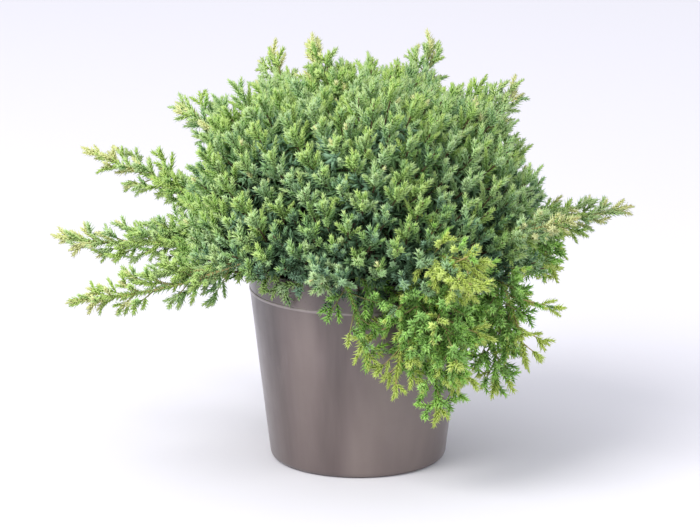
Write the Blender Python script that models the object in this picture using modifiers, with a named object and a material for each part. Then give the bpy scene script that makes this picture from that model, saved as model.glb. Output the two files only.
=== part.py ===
"""A dwarf garden juniper in its nursery pot, in metres, with +Z up.

The origin is the middle of the pot's flat underside, and the plant's front faces -Y.
A short trunk stands on the potting soil. It carries one bough for each mass of foliage,
and its own tip carries the top mass. Every mass keeps to a cell of its own: the points
that are nearer to its middle than to any other's. The crown is a low dome, with leaders
that run out of it to the sides, and some that hang down past the pot.
"""

import math
from collections import Counter

import bmesh
import bpy
from mathutils import Matrix, Vector

# Pot: a turned shell with a banded rim, a tapered wall and a flat, pierced floor
POT_HEIGHT = 0.150
POT_RIM_RADIUS = 0.080
POT_FOOT_RADIUS = 0.0655
POT_WALL = 0.0016
POT_FLOOR = 0.0022
POT_FOOT_ROUND = 0.004
POT_FOOT_CORNER = 0.0012
RIM_BAND = 0.021
RIM_LIP = 0.0022
RIM_LIP_PROUD = 0.0009
BEAD = 0.0018
BEAD_PROUD = 0.0007
BEAD_SLOPE = 0.00045
POT_STEPS = 36
DRAIN_HOLES = 6
DRAIN_HOLE_RADIUS = 0.0055
DRAIN_RING_RADIUS = 0.049

# Soil: fills the pot to a little below its rim
SOIL_BELOW_RIM = 0.012
SOIL_MOUND = 0.004
SOIL_FLAT_RADIUS = 0.013
SOIL_HALF_WAY = 0.55
SOIL_STEPS = 28

GOLDEN_ANGLE = math.pi * (3.0 - math.sqrt(5.0))

# Faces that touch on the real plant keep this gap
SEAT = 0.0003

# Corners that a union leaves this close are made one, by the first of these that keeps the body closed
SLIVERS = (0.00004, 0.00002, 0.00008, 0.00001, 0.0)
# The corners of a limb's sides and its caps are made one
CAP_WELD = 0.00001

# Trunk
TRUNK_FOOT_RADIUS = 0.0078
TRUNK_TIP_RADIUS = 0.0026
TRUNK_LEAN = 0.003
TRUNK_POINTS = 9
TRUNK_ROUNDNESS = 3
FLARE_HEIGHT = 0.012
FLARE_SPREAD = 0.45
FLARE_ROOTS = 5
FLARE_RIPPLE = 0.4

# Boughs
BOUGH_FOOT_RADIUS = 0.0026
BOUGH_TIP_RADIUS = 0.0016
LOW_BOUGH_HEIGHTS = (0.012, 0.021)
HIGH_BOUGH_HEIGHTS = (0.033, 0.041)
BOUGH_POINTS = 5
BOUGH_ROUNDNESS = 1
BOUGH_STRAIGHT = 0.004
BOUGH_BEND = 0.024

# Crown: a cushion about FOCUS, fuller at its shoulder than a ball, with one mass at each middle
FOCUS = Vector((0.0, 0.0, 0.150))
CROWN_REACH = 0.129
CROWN_TOP = 0.006
CROWN_SHOULDER = 0.015
SWELL = 0.28
CORE_SHARE = 0.72
CORE_FLOOR = 0.1525
CORE_INNER = 0.026
CORE_DRAWN_IN = 0.985
CELL_GAP = 0.0008
CELL_WIDTH = 1.0
MIDDLE_DEPTH = 0.090
SHOULDER_DEPTH = 0.006
BOUGH_SHORT_OF_CORE = 0.004
POT_CLEARANCE = 0.004
LIMB_CLEARANCE = 0.001
LOW_MASSES = 9
LOW_START_DEG = -60.0
LOW_RISE_DEG = 11.0
HIGH_MASSES = 5
HIGH_START_DEG = -87.0
HIGH_RISE_DEG = 50.0

# Sprays: a slim core with needles that stand out of it. A short spray is narrower too
SPRAY_SIDES = 4
SPRAY_FULL_LENGTH = 0.045
SPRAY_SUNK = 0.009
SPRAY_WIDTH = 0.0072
SPRAY_CORE = 0.0025
SPRAY_LEAST_WIDTH = 0.4
SPRAY_TAPER = 0.3
SPRAY_FREE_OF_POT = 0.25
SPRAY_COUNT = 226
SPRAY_CROWDING = 1.10
SPRAY_LOWEST_DEG = -3.0
SPRAY_LIFT = 0.16
# How far a spray of the crown leans in to its mass's axis, and how slim it is: the first that fits is made
SPRAY_FITS = ((0.0, 1.0), (0.05, 0.9), (0.10, 0.8), (0.16, 0.7), (0.24, 0.65), (0.34, 0.6))
SPRAY_LOOSE = 1.02

# Sprays that hang over the pot's rim
FRINGE_COUNT = 36
FRINGE_LENGTH = 0.027
FRINGE_TIP_RADIUS = 0.103
FRINGE_TIP_HEIGHT = 0.135
FRINGE_DROP = 0.80
FRINGE_UNEVEN = 0.006
FRINGE_SWING = 0.3

# Short twigs that stand out of each mass's core, every one with sprays of its own
TWIGS = 1
TWIG_SPREAD = 0.40
TWIG_REACH = 1.03
TWIG_POINTS = 3

# Names of the low masses round the pot, from the right of the front, against the clock
LOW_NAMES = (
    "front_right",
    "right_front",
    "right",
    "right_back",
    "back",
    "left_back",
    "left",
    "left_front",
    "front",
)
HIGH_NAMES = ("front", "right", "back_right", "back_left", "left")

# Leaders that run out of the crown: the point each reaches, and how far it sags on the way
LEADERS = {
    "foliage_front_right": (
        (Vector((0.057, -0.120, 0.062)), -0.034),
        (Vector((0.078, -0.138, 0.158)), -0.030),
    ),
    "foliage_right_front": (
        (Vector((0.101, -0.067, 0.067)), -0.036),
        (Vector((0.156, -0.092, 0.203)), -0.002),
    ),
    "foliage_right": (
        (Vector((0.205, 0.050, 0.178)), 0.010),
        (Vector((0.150, 0.068, 0.120)), -0.022),
    ),
    "foliage_right_back": ((Vector((0.116, 0.152, 0.196)), 0.010),),
    "foliage_back": (
        (Vector((-0.026, 0.184, 0.152)), 0.014),
        (Vector((0.010, 0.142, 0.104)), -0.022),
    ),
    "foliage_left_back": ((Vector((-0.209, 0.100, 0.211)), 0.006),),
    "foliage_left": ((Vector((-0.225, 0.004, 0.166)), 0.012),),
    "foliage_left_front": ((Vector((-0.206, -0.104, 0.146)), 0.016),),
    "foliage_front": (
        (Vector((-0.034, -0.142, 0.170)), 0.002),
        (Vector((0.007, -0.118, 0.100)), -0.026),
    ),
    "foliage_high_left": ((Vector((-0.132, 0.016, 0.264)), 0.004),),
    "foliage_high_right": ((Vector((0.116, 0.024, 0.276)), 0.004),),
    "foliage_high_back_left": ((Vector((-0.066, 0.104, 0.286)), 0.004),),
    "foliage_high_back_right": ((Vector((0.056, 0.112, 0.290)), 0.004),),
    "foliage_top": ((Vector((-0.036, 0.020, 0.308)), 0.002),),
}
LEADER_POINTS = 5
LEADER_FOOT_RADIUS = 0.0015
LEADER_TIP_RADIUS = 0.0006
LEADER_SPRAY_STEP = 0.0155
LEADER_SPRAY_LONG = 0.031
LEADER_SPRAY_SHORT = 0.015
LEADER_SPRAY_ANGLE = math.radians(46.0)
LEADER_SPRAY_CLOSING = 0.45
LEADER_TIP_SUNK = 0.8
LEADER_SPRAY_TURN = math.radians(126.0)
BARE_SHARE = 0.76


def clear_scene():
    for obj in list(bpy.data.objects):
        bpy.data.objects.remove(obj, do_unlink=True)


def new_collection(name, parent=None, hidden=False):
    made = bpy.data.collections.new(name)
    (parent or bpy.context.scene.collection).children.link(made)
    made.hide_render = hidden
    return made


def plain_material(name, colour, roughness):
    made = bpy.data.materials.new(name)
    made.use_nodes = True
    made.diffuse_color = (*colour, 1.0)
    shader = made.node_tree.nodes["Principled BSDF"]
    shader.inputs["Base Color"].default_value = (*colour, 1.0)
    shader.inputs["Roughness"].default_value = roughness
    return made


def object_from(bm, name, collection, material=None):
    mesh = bpy.data.meshes.new(name)
    bm.to_mesh(mesh)
    bm.free()
    if material:
        mesh.materials.append(material)
    made = bpy.data.objects.new(name, mesh)
    collection.objects.link(made)
    return made


def turned(name, profile, steps, collection, material):
    """A closed solid from a profile of (radius, height) points that starts and ends on the axis."""
    bm = bmesh.new()
    points = [bm.verts.new((radius, 0.0, height)) for radius, height in profile]
    for first, second in zip(points, points[1:]):
        bm.edges.new((first, second))
    made = object_from(bm, name, collection, material)
    screw = made.modifiers.new("turn", "SCREW")
    screw.steps = steps
    screw.render_steps = steps
    screw.use_merge_vertices = True
    screw.merge_threshold = 0.00005
    screw.use_smooth_shade = True
    return made


def make_pot(collection, cutters, material):
    band_foot = POT_HEIGHT - RIM_BAND
    rim = POT_RIM_RADIUS
    foot = POT_FOOT_RADIUS
    inner_foot = foot - POT_WALL
    profile = [
        (0.0, POT_FLOOR),
        (inner_foot - POT_FOOT_ROUND, POT_FLOOR),
        (inner_foot, POT_FLOOR + POT_FOOT_ROUND),
        (rim - POT_WALL, band_foot),
        (rim - POT_WALL, POT_HEIGHT),
        (rim + RIM_LIP_PROUD, POT_HEIGHT),
        (rim + RIM_LIP_PROUD, POT_HEIGHT - RIM_LIP),
        (rim, POT_HEIGHT - RIM_LIP - RIM_LIP_PROUD),
        (rim, band_foot + BEAD),
        (rim + BEAD_PROUD, band_foot + BEAD - BEAD_SLOPE),
        (rim + BEAD_PROUD, band_foot + BEAD_SLOPE),
        (rim - BEAD_PROUD, band_foot),
        (foot, POT_FOOT_ROUND),
        (foot - POT_FOOT_CORNER, POT_FOOT_CORNER),
        (foot - POT_FOOT_ROUND, 0.0),
        (0.0, 0.0),
    ]
    pot = turned("pot", profile, POT_STEPS, collection, material)
    for number in range(DRAIN_HOLES):
        angle = math.tau * (number + 0.5) / DRAIN_HOLES
        bm = bmesh.new()
        bmesh.ops.create_cone(
            bm,
            cap_ends=True,
            segments=10,
            radius1=DRAIN_HOLE_RADIUS,
            radius2=DRAIN_HOLE_RADIUS,
            depth=POT_FLOOR * 4,
            matrix=Matrix.Translation(
                (DRAIN_RING_RADIUS * math.cos(angle), DRAIN_RING_RADIUS * math.sin(angle), POT_FLOOR / 2)
            ),
        )
        cutter = object_from(bm, f"drain_cutter_{number + 1}", cutters)
        cutter.hide_render = True
        cutter.display_type = "WIRE"
    drill = pot.modifiers.new("drain holes", "BOOLEAN")
    drill.operation = "DIFFERENCE"
    drill.operand_type = "COLLECTION"
    drill.collection = cutters
    drill.solver = "EXACT"


def soil_top():
    return POT_HEIGHT - SOIL_BELOW_RIM + SOIL_MOUND


def make_soil(collection, material):
    rim = POT_RIM_RADIUS - POT_WALL - SEAT
    inner_foot = POT_FOOT_RADIUS - POT_WALL - SEAT
    band_foot = POT_HEIGHT - RIM_BAND
    floor = POT_FLOOR + SEAT
    edge = POT_HEIGHT - SOIL_BELOW_RIM
    profile = [
        (0.0, soil_top()),
        (SOIL_FLAT_RADIUS, soil_top()),
        (rim * SOIL_HALF_WAY, edge + SOIL_MOUND * SOIL_HALF_WAY),
        (rim, edge),
        (rim, band_foot),
        (inner_foot, floor + POT_FOOT_ROUND),
        (inner_foot - POT_FOOT_ROUND, floor),
        (0.0, floor),
    ]
    return turned("soil", profile, SOIL_STEPS, collection, material)


def limb(name, points, radii, collection, material=None, roundness=0):
    """One tapering limb along points, as a closed mesh. Its section has 4 + 2 * roundness sides."""
    curve = bpy.data.curves.new(name, "CURVE")
    curve.dimensions = "3D"
    curve.bevel_depth = 1.0
    curve.bevel_resolution = roundness
    curve.use_fill_caps = True
    spline = curve.splines.new("POLY")
    spline.points.add(len(points) - 1)
    for place, point, radius in zip(spline.points, points, radii):
        place.co = (*point, 1.0)
        place.radius = radius
    guide = bpy.data.objects.new(name, curve)
    collection.objects.link(guide)
    bpy.context.view_layer.update()
    evaluated = guide.evaluated_get(bpy.context.evaluated_depsgraph_get())
    mesh = bpy.data.meshes.new_from_object(evaluated)
    place_matrix = guide.matrix_world.copy()
    bpy.data.objects.remove(guide, do_unlink=True)
    bpy.data.curves.remove(curve)
    bm = bmesh.new()
    bm.from_mesh(mesh)
    bmesh.ops.remove_doubles(bm, verts=bm.verts, dist=CAP_WELD)
    bmesh.ops.triangulate(bm, faces=bm.faces)
    bm.to_mesh(mesh)
    bm.free()
    if material:
        mesh.materials.append(material)
    made = bpy.data.objects.new(name, mesh)
    made.matrix_world = place_matrix
    collection.objects.link(made)
    return made


def bend(start, through, end, count):
    """Points of the quadratic curve from start to end that is drawn towards through."""
    shares = [step / (count - 1) for step in range(count)]
    return [start * (1 - t) ** 2 + through * 2 * t * (1 - t) + end * t**2 for t in shares]


def tapered(first, last, count):
    return [first + (last - first) * step / max(1, count - 1) for step in range(count)]


def from_angles(azimuth_deg, rise_deg):
    azimuth, rise = math.radians(azimuth_deg), math.radians(rise_deg)
    return Vector((math.cos(azimuth) * math.cos(rise), math.sin(azimuth) * math.cos(rise), math.sin(rise)))


class Mass:
    """Where one mass of foliage is: its axis from the focus, its middle and the planes of its cell."""

    def __init__(self, name, axis, bough_height):
        self.name = name
        self.axis = axis
        self.middle = FOCUS + axis * MIDDLE_DEPTH
        self.bough_height = bough_height
        self.planes = []

    def wall_planes(self, others):
        for other in others:
            if other is self:
                continue
            across = other.middle - self.middle
            normal = across.normalized()
            half_way = (self.middle + other.middle) / 2
            self.planes.append((normal, normal.dot(half_way) - CELL_GAP))

    def holds(self, point):
        return all(normal.dot(point) <= limit for normal, limit in self.planes)

    def entry(self):
        """Where the bough ends, just before it meets the core."""
        return self.middle - self.axis * (CORE_INNER + BOUGH_SHORT_OF_CORE)


def plan_masses():
    masses = []
    for number, name in enumerate(LOW_NAMES):
        axis = from_angles(LOW_START_DEG + 360.0 * number / LOW_MASSES, LOW_RISE_DEG)
        masses.append(Mass(f"foliage_{name}", axis, LOW_BOUGH_HEIGHTS[number % 2]))
    for number, name in enumerate(HIGH_NAMES):
        axis = from_angles(HIGH_START_DEG + 360.0 * number / HIGH_MASSES, HIGH_RISE_DEG)
        masses.append(Mass(f"foliage_high_{name}", axis, HIGH_BOUGH_HEIGHTS[number % 2]))
    masses.append(Mass("foliage_top", Vector((0.0, 0.0, 1.0)), None))
    for mass in masses:
        mass.wall_planes(masses)
    return masses


def make_trunk(collection, material, tip):
    foot = Vector((0.0, 0.0, soil_top() + SEAT))
    middle = (foot + tip) / 2 + Vector((TRUNK_LEAN, 0.0, 0.0))
    points = bend(foot, middle, tip, TRUNK_POINTS)
    radii = tapered(TRUNK_FOOT_RADIUS, TRUNK_TIP_RADIUS, TRUNK_POINTS)
    trunk = limb("trunk", points, radii, collection, material, TRUNK_ROUNDNESS)
    for vertex in trunk.data.vertices:
        above = vertex.co.z - foot.z
        share = max(0.0, 1.0 - above / FLARE_HEIGHT) ** 2
        azimuth = math.atan2(vertex.co.y, vertex.co.x)
        spread = 1.0 + FLARE_SPREAD * share * (1.0 + FLARE_RIPPLE * math.cos(FLARE_ROOTS * azimuth))
        vertex.co.x *= spread
        vertex.co.y *= spread
        if above < SEAT * 4:
            vertex.co.z = foot.z
    trunk.data.shade_smooth()
    return points, radii


def trunk_point(height, points):
    """The trunk's own line at a height above the soil."""
    wanted = points[0].z + height
    for low, high in zip(points, points[1:]):
        if low.z <= wanted <= high.z:
            return low.lerp(high, (wanted - low.z) / (high.z - low.z))
    return points[-1].copy()


def wider_trunk(points, radii, collection):
    """The trunk and the gap round it, which each bough's foot is cut back from."""
    wider = [radius + SEAT * 1.3 for radius in radii]
    cutter = limb("trunk_cutter", points, wider, collection, None, TRUNK_ROUNDNESS)
    cutter.hide_render = True
    cutter.display_type = "WIRE"
    return cutter


def make_bough(mass, trunk_points, cutter, collection, material):
    """One bough: it leaves the trunk's middle, and ends straight along the mass's axis."""
    start = trunk_point(mass.bough_height, trunk_points)
    end = mass.entry()
    before_end = end - mass.axis * BOUGH_STRAIGHT
    through = end - mass.axis * BOUGH_BEND
    points = [*bend(start, through, before_end, BOUGH_POINTS - 1), end]
    radii = tapered(BOUGH_FOOT_RADIUS, BOUGH_TIP_RADIUS, BOUGH_POINTS)
    name = mass.name.replace("foliage", "bough")
    bough = limb(name, points, radii, collection, material, BOUGH_ROUNDNESS)
    cut = bough.modifiers.new("seat on trunk", "BOOLEAN")
    cut.operation = "DIFFERENCE"
    cut.object = cutter
    cut.solver = "EXACT"
    bough.data.shade_smooth()
    return points


def crown_reach(way):
    """The crown's outer face along a unit vector from the focus, before any mass swells it."""
    rise = math.asin(max(-1.0, min(1.0, way.z)))
    shoulder = CROWN_SHOULDER * math.sin(2.0 * max(0.0, rise)) ** 2
    return CROWN_REACH + CROWN_TOP * max(0.0, way.z) + shoulder


def core_distance(mass, way):
    """How far the core reaches from its mass's middle along a unit vector."""
    reach = 1.0
    limits = list(mass.planes)
    limits.append((-mass.axis, -mass.axis.dot(mass.middle) + CORE_INNER))
    limits.append((Vector((0.0, 0.0, -1.0)), -CORE_FLOOR))
    for normal, limit in limits:
        closing = normal.dot(way)
        if closing > 1e-6:
            reach = min(reach, (limit - normal.dot(mass.middle)) / closing)
    inside, outside = 0.0, reach
    for _ in range(16):
        middle = (inside + outside) / 2
        from_focus = mass.middle + way * middle - FOCUS
        if from_focus.length < CORE_SHARE * crown_reach(from_focus.normalized()):
            inside = middle
        else:
            outside = middle
    return inside


def make_core(mass, collection):
    """A dense heart to the mass: a ball drawn in to its cell's walls and to the inside of the crown."""
    bm = bmesh.new()
    bmesh.ops.create_icosphere(bm, subdivisions=2, radius=1.0)
    turn = mass.axis.to_track_quat("Z", "Y").to_matrix()
    for vertex in bm.verts:
        way = (turn @ vertex.co).normalized()
        vertex.co = mass.middle + way * (core_distance(mass, way) * CORE_DRAWN_IN)
    return object_from(bm, f"{mass.name}_core", collection)


def spray_mesh(length, width, core, whorls):
    """A slim spindle along +Z with two needles standing out at each whorl, as a bmesh ball drawn to shape."""
    bm = bmesh.new()
    bmesh.ops.create_uvsphere(bm, u_segments=SPRAY_SIDES, v_segments=whorls + 1, radius=1.0)
    levels = sorted({round(vertex.co.z, 4) for vertex in bm.verts})
    for vertex in bm.verts:
        level = levels.index(round(vertex.co.z, 4))
        if level == 0:
            vertex.co = Vector((0.0, 0.0, 0.0))
            continue
        if level == whorls + 1:
            vertex.co = Vector((0.0, 0.0, length))
            continue
        azimuth = math.atan2(vertex.co.y, vertex.co.x)
        column = round(azimuth * SPRAY_SIDES / math.tau)
        out = (column + level) % 2 == 0
        share = (level - 0.5) / (whorls + 0.5)
        radius = (width if out else core) * (1.0 - SPRAY_TAPER * share)
        height = length * (share + (0.5 / (whorls + 0.5) if out else 0.0))
        vertex.co = Vector((radius * math.cos(azimuth), radius * math.sin(azimuth), height))
    bmesh.ops.triangulate(bm, faces=bm.faces)
    return bm


def place_along(bm, root, way, roll):
    turn = way.to_track_quat("Z", "Y").to_matrix().to_4x4() @ Matrix.Rotation(roll, 4, "Z")
    bm.transform(Matrix.Translation(root) @ turn)


def clear_of_pot(point):
    """True outside the pot and not in its mouth."""
    if point.z > POT_HEIGHT + POT_CLEARANCE:
        return True
    return math.hypot(point.x, point.y) > POT_RIM_RADIUS + POT_CLEARANCE


def near_line(point, line, within):
    for first, second in zip(line, line[1:]):
        along = second - first
        share = max(0.0, min(1.0, (point - first).dot(along) / along.length_squared))
        if (first + along * share - point).length < within:
            return True
    return False


def try_spray(mass, root, way, length, roll, limbs, collection, whorls=1, width=SPRAY_WIDTH):
    """Adds one spray if all of it stays in the mass's cell, off the pot and off other limbs."""
    fullness = SPRAY_LEAST_WIDTH + (1.0 - SPRAY_LEAST_WIDTH) * length / SPRAY_FULL_LENGTH
    bm = spray_mesh(length, width * fullness, SPRAY_CORE, whorls)
    place_along(bm, root, way, roll)
    places = [vertex.co.copy() for vertex in bm.verts]
    standing = [place for place in places if (place - root).length > length * SPRAY_FREE_OF_POT]
    fits = all(mass.holds(place) for place in places)
    fits = fits and all(clear_of_pot(place) for place in standing)
    fits = fits and not any(
        near_line(place, line, BOUGH_FOOT_RADIUS + LIMB_CLEARANCE) for line in limbs for place in places
    )
    if not fits:
        bm.free()
        return False
    object_from(bm, f"{mass.name}_spray", collection)
    return True


def outer_face(mass, way):
    """The mass's own outer face along a unit vector from the focus: it swells over the mass's middle."""
    return crown_reach(way) * (SPRAY_LOOSE - SWELL * way.angle(mass.axis) ** 2)


def spread_ways():
    """Directions from the focus by the golden angle, even on all sides and closer together at the top."""
    lowest = math.sin(math.radians(SPRAY_LOWEST_DEG))
    for number in range(SPRAY_COUNT):
        height = 1.0 - (1.0 - lowest) * ((number + 0.5) / SPRAY_COUNT) ** SPRAY_CROWDING
        flat = math.sqrt(1.0 - height * height)
        azimuth = number * GOLDEN_ANGLE
        yield number, Vector((flat * math.cos(azimuth), flat * math.sin(azimuth), height))


def cover_mass(mass, limbs, collection):
    """Sprays all over the outer face of the mass, each leaning in where it would leave the cell."""
    made = 0
    for number, way in spread_ways():
        if way.angle(mass.axis) > CELL_WIDTH or not mass.holds(FOCUS + way * CROWN_REACH):
            continue
        lift = Vector((0.0, 0.0, SPRAY_LIFT * (1.0 - way.z)))
        for lean, slim in SPRAY_FITS:
            aim = way.lerp(mass.axis, lean).normalized()
            heading = (aim + lift).normalized()
            reach = outer_face(mass, aim) * (0.97 + 0.06 * ((number * 3) % 7) / 6)
            length = reach - CORE_SHARE * crown_reach(aim) + SPRAY_SUNK
            root = FOCUS + aim * reach - heading * length
            roll = number * GOLDEN_ANGLE
            whorls = 1 + (number % 3 == 0)
            if try_spray(mass, root, heading, length, roll, limbs, collection, whorls, SPRAY_WIDTH * slim):
                made += 1
                break
    return made


def hang_fringe(mass, limbs, collection):
    """Sprays that hang a little way over the pot's rim, all round it."""
    made = 0
    for number in range(FRINGE_COUNT):
        outward = from_angles(360.0 * (number + 0.5) / FRINGE_COUNT, 0.0)
        uneven = ((number * 5) % 7) / 6 - 0.5
        height = FRINGE_TIP_HEIGHT + FRINGE_UNEVEN * uneven
        end = outward * FRINGE_TIP_RADIUS + Vector((0.0, 0.0, height))
        if mass.holds(end):
            drop = FRINGE_DROP + FRINGE_SWING * uneven
            heading = (outward - Vector((0.0, 0.0, drop))).normalized()
            root = end - heading * FRINGE_LENGTH
            made += try_spray(mass, root, heading, FRINGE_LENGTH, number, limbs, collection)
    return made


def leader_points(mass, tip, sag):
    """A leader's line, from the mass's shoulder to its tip."""
    shoulder = mass.middle + mass.axis * SHOULDER_DEPTH
    through = shoulder.lerp(tip, 0.5) - Vector((0.0, 0.0, sag))
    return bend(shoulder, through, tip, LEADER_POINTS)


def twig_tips(mass, index):
    """The points that the mass's short twigs reach, spread about its axis."""
    turn = mass.axis.to_track_quat("Z", "Y")
    for number in range(TWIGS):
        tilt = TWIG_SPREAD * math.sqrt((number + 0.5) / TWIGS)
        spin = (number + index) * GOLDEN_ANGLE
        way = Vector((math.sin(tilt) * math.cos(spin), math.sin(tilt) * math.sin(spin), math.cos(tilt)))
        way.rotate(turn)
        yield FOCUS + way * (outer_face(mass, way) * TWIG_REACH)


def dress_shoot(mass, points, limbs, collection):
    """Sprays along the part of the shoot outside the core, by turns to each side, and one on its tip."""
    made = 0
    number = 0
    travelled = 0.0
    lengths = [(second - first).length for first, second in zip(points, points[1:])]
    total = sum(lengths)
    wanted = LEADER_SPRAY_STEP
    for first, second, length in zip(points, points[1:], lengths):
        along = (second - first).normalized()
        while wanted < travelled + length:
            place = first + along * (wanted - travelled)
            share = wanted / total
            wanted += LEADER_SPRAY_STEP
            outward = place - FOCUS
            if outward.length < crown_reach(outward.normalized()) * BARE_SHARE:
                continue
            number += 1
            side = along.orthogonal().normalized()
            side.rotate(Matrix.Rotation(number * LEADER_SPRAY_TURN, 3, along))
            angle = LEADER_SPRAY_ANGLE * (1.0 - LEADER_SPRAY_CLOSING * share)
            way = along * math.cos(angle) + side * math.sin(angle)
            size = LEADER_SPRAY_LONG + (LEADER_SPRAY_SHORT - LEADER_SPRAY_LONG) * share
            root = place - way * LEADER_FOOT_RADIUS
            made += try_spray(mass, root, way, size, number, limbs, collection)
        travelled += length
    tip_way = (points[-1] - points[-2]).normalized()
    root = points[-1] - tip_way * (LEADER_SPRAY_SHORT * LEADER_TIP_SUNK)
    made += try_spray(mass, root, tip_way, LEADER_SPRAY_SHORT, 0.0, limbs, collection)
    return made


def shells_of(bm):
    """The mesh's faces in groups that meet along edges, the largest group first."""
    left = set(bm.faces)
    groups = []
    while left:
        seed = left.pop()
        group, front = [seed], [seed]
        while front:
            face = front.pop()
            for edge in face.edges:
                for near in edge.link_faces:
                    if near in left:
                        left.discard(near)
                        group.append(near)
                        front.append(near)
        groups.append(group)
    return sorted(groups, key=len, reverse=True)


def closed_once_rounded(bm):
    """True if two faces meet at every edge, also once the corners are rounded to a tenth of a micron."""
    faces_at = Counter()
    for face in bm.faces:
        corners = [tuple(round(part * 1e7) for part in vertex.co) for vertex in face.verts]
        if len(set(corners)) < 3:
            continue
        for first, second in zip(corners, corners[1:] + corners[:1]):
            faces_at[tuple(sorted((first, second)))] += 1
    return set(faces_at.values()) == {2}


def one_body(mesh):
    """Keeps the largest closed piece, without the skins of sealed hollows, and merges its slivers."""
    for merge in SLIVERS:
        bm = bmesh.new()
        bm.from_mesh(mesh)
        bmesh.ops.triangulate(bm, faces=bm.faces)
        if merge:
            bmesh.ops.remove_doubles(bm, verts=bm.verts, dist=merge)
            bmesh.ops.dissolve_degenerate(bm, dist=merge / 4, edges=bm.edges)
            bmesh.ops.triangulate(bm, faces=bm.faces)
        spare = [face for group in shells_of(bm)[1:] for face in group]
        bmesh.ops.delete(bm, geom=spare, context="FACES")
        if closed_once_rounded(bm) or not merge:
            bm.to_mesh(mesh)
            bm.free()
            return
        bm.free()


def fuse(base, pieces):
    """Joins every object of a collection to base, and removes them."""
    union = base.modifiers.new("fuse", "BOOLEAN")
    union.operation = "UNION"
    union.operand_type = "COLLECTION"
    union.collection = pieces
    union.solver = "EXACT"
    bpy.context.view_layer.update()
    evaluated = base.evaluated_get(bpy.context.evaluated_depsgraph_get())
    joined = bpy.data.meshes.new_from_object(evaluated)
    base.modifiers.remove(union)
    old = base.data
    base.data = joined
    bpy.data.meshes.remove(old)
    for piece in list(pieces.objects):
        mesh = piece.data
        bpy.data.objects.remove(piece, do_unlink=True)
        bpy.data.meshes.remove(mesh)
    one_body(base.data)


def make_mass(mass, index, start, limbs, collection, pieces, material):
    """A stem with its core, leaders, twigs and sprays, fused into one solid."""
    made = 0
    leaders = [leader_points(mass, tip, sag) for tip, sag in LEADERS.get(mass.name, ())]
    first = leaders[0] if leaders else [mass.middle + mass.axis * SHOULDER_DEPTH]
    radii = [BOUGH_TIP_RADIUS, *tapered(LEADER_FOOT_RADIUS, LEADER_TIP_RADIUS, len(first))]
    stem = limb(mass.name, [start, *first], radii, collection, material)
    make_core(mass, pieces)
    for points in leaders[1:]:
        radii = tapered(LEADER_FOOT_RADIUS, LEADER_TIP_RADIUS, len(points))
        limb(f"{mass.name}_leader", points, radii, pieces)
    for points in leaders:
        made += dress_shoot(mass, points, limbs, pieces)
    for tip in twig_tips(mass, index):
        points = [mass.middle.lerp(tip, step / (TWIG_POINTS - 1)) for step in range(TWIG_POINTS)]
        if mass.holds(tip):
            radii = tapered(LEADER_FOOT_RADIUS, LEADER_TIP_RADIUS, TWIG_POINTS)
            limb(f"{mass.name}_twig", points, radii, pieces)
            made += dress_shoot(mass, points, limbs, pieces)
    made += cover_mass(mass, limbs, pieces)
    made += hang_fringe(mass, limbs, pieces)
    fuse(stem, pieces)
    stem.data.materials.clear()
    stem.data.materials.append(material)
    return made


def main():
    clear_scene()
    juniper = new_collection("potted_juniper")
    cutters = new_collection("cutters", hidden=True)
    drains = new_collection("drain_cutters", parent=cutters)
    pieces = new_collection("pieces", hidden=True)
    taupe = plain_material("pot_plastic", (0.215, 0.165, 0.145), 0.38)
    peat = plain_material("potting_soil", (0.035, 0.022, 0.014), 0.95)
    bark = plain_material("bark", (0.20, 0.105, 0.055), 0.85)
    needles = plain_material("needles", (0.085, 0.190, 0.055), 0.55)

    make_pot(juniper, drains, taupe)
    make_soil(juniper, peat)
    masses = plan_masses()
    top = masses[-1]
    trunk_tip = top.entry()
    trunk_points, trunk_radii = make_trunk(juniper, bark, trunk_tip)
    cutter = wider_trunk(trunk_points, trunk_radii, cutters)

    lines = {top.name: trunk_points}
    starts = {top.name: trunk_tip + Vector((0.0, 0.0, SEAT))}
    for mass in masses[:-1]:
        points = make_bough(mass, trunk_points, cutter, juniper, bark)
        lines[mass.name] = points
        starts[mass.name] = points[-1] + mass.axis * SEAT
    total = 0
    for index, mass in enumerate(masses):
        limbs = [line for name, line in lines.items() if name != mass.name]
        total += make_mass(mass, index, starts[mass.name], limbs, juniper, pieces, needles)
    bpy.data.collections.remove(pieces)
    print(f"{len(masses)} masses, {total} sprays")


main()
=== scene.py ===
"""Looks of the potted garden juniper, in metres, with +Z up and the plant's front to -Y.

The pot, the soil and the limbs are modelled over their plain solids. The foliage grows from
the limbs by the rule that its solids follow, carried on to finer shoots: a shoot either
bears side shoots and a tip, or is a sprig, which is a short stem with whorls of needles.
"""

import math
from collections import namedtuple

import bmesh
import bpy
import numpy as np
from mathutils import Matrix, Vector, noise


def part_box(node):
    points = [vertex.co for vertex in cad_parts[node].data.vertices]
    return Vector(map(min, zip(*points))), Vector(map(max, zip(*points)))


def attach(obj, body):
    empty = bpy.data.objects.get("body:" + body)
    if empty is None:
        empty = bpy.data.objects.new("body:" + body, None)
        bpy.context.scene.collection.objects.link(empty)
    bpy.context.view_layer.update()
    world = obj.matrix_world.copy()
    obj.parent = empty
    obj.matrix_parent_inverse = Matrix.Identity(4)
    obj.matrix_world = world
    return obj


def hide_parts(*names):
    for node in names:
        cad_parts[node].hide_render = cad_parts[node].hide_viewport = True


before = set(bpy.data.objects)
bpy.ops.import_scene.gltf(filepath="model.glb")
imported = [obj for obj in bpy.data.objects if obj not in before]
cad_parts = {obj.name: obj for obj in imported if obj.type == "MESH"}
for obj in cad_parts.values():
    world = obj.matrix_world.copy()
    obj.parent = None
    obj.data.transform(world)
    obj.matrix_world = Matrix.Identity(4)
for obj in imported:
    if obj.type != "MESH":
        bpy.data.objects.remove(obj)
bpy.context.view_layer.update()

SEED = 46

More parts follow.
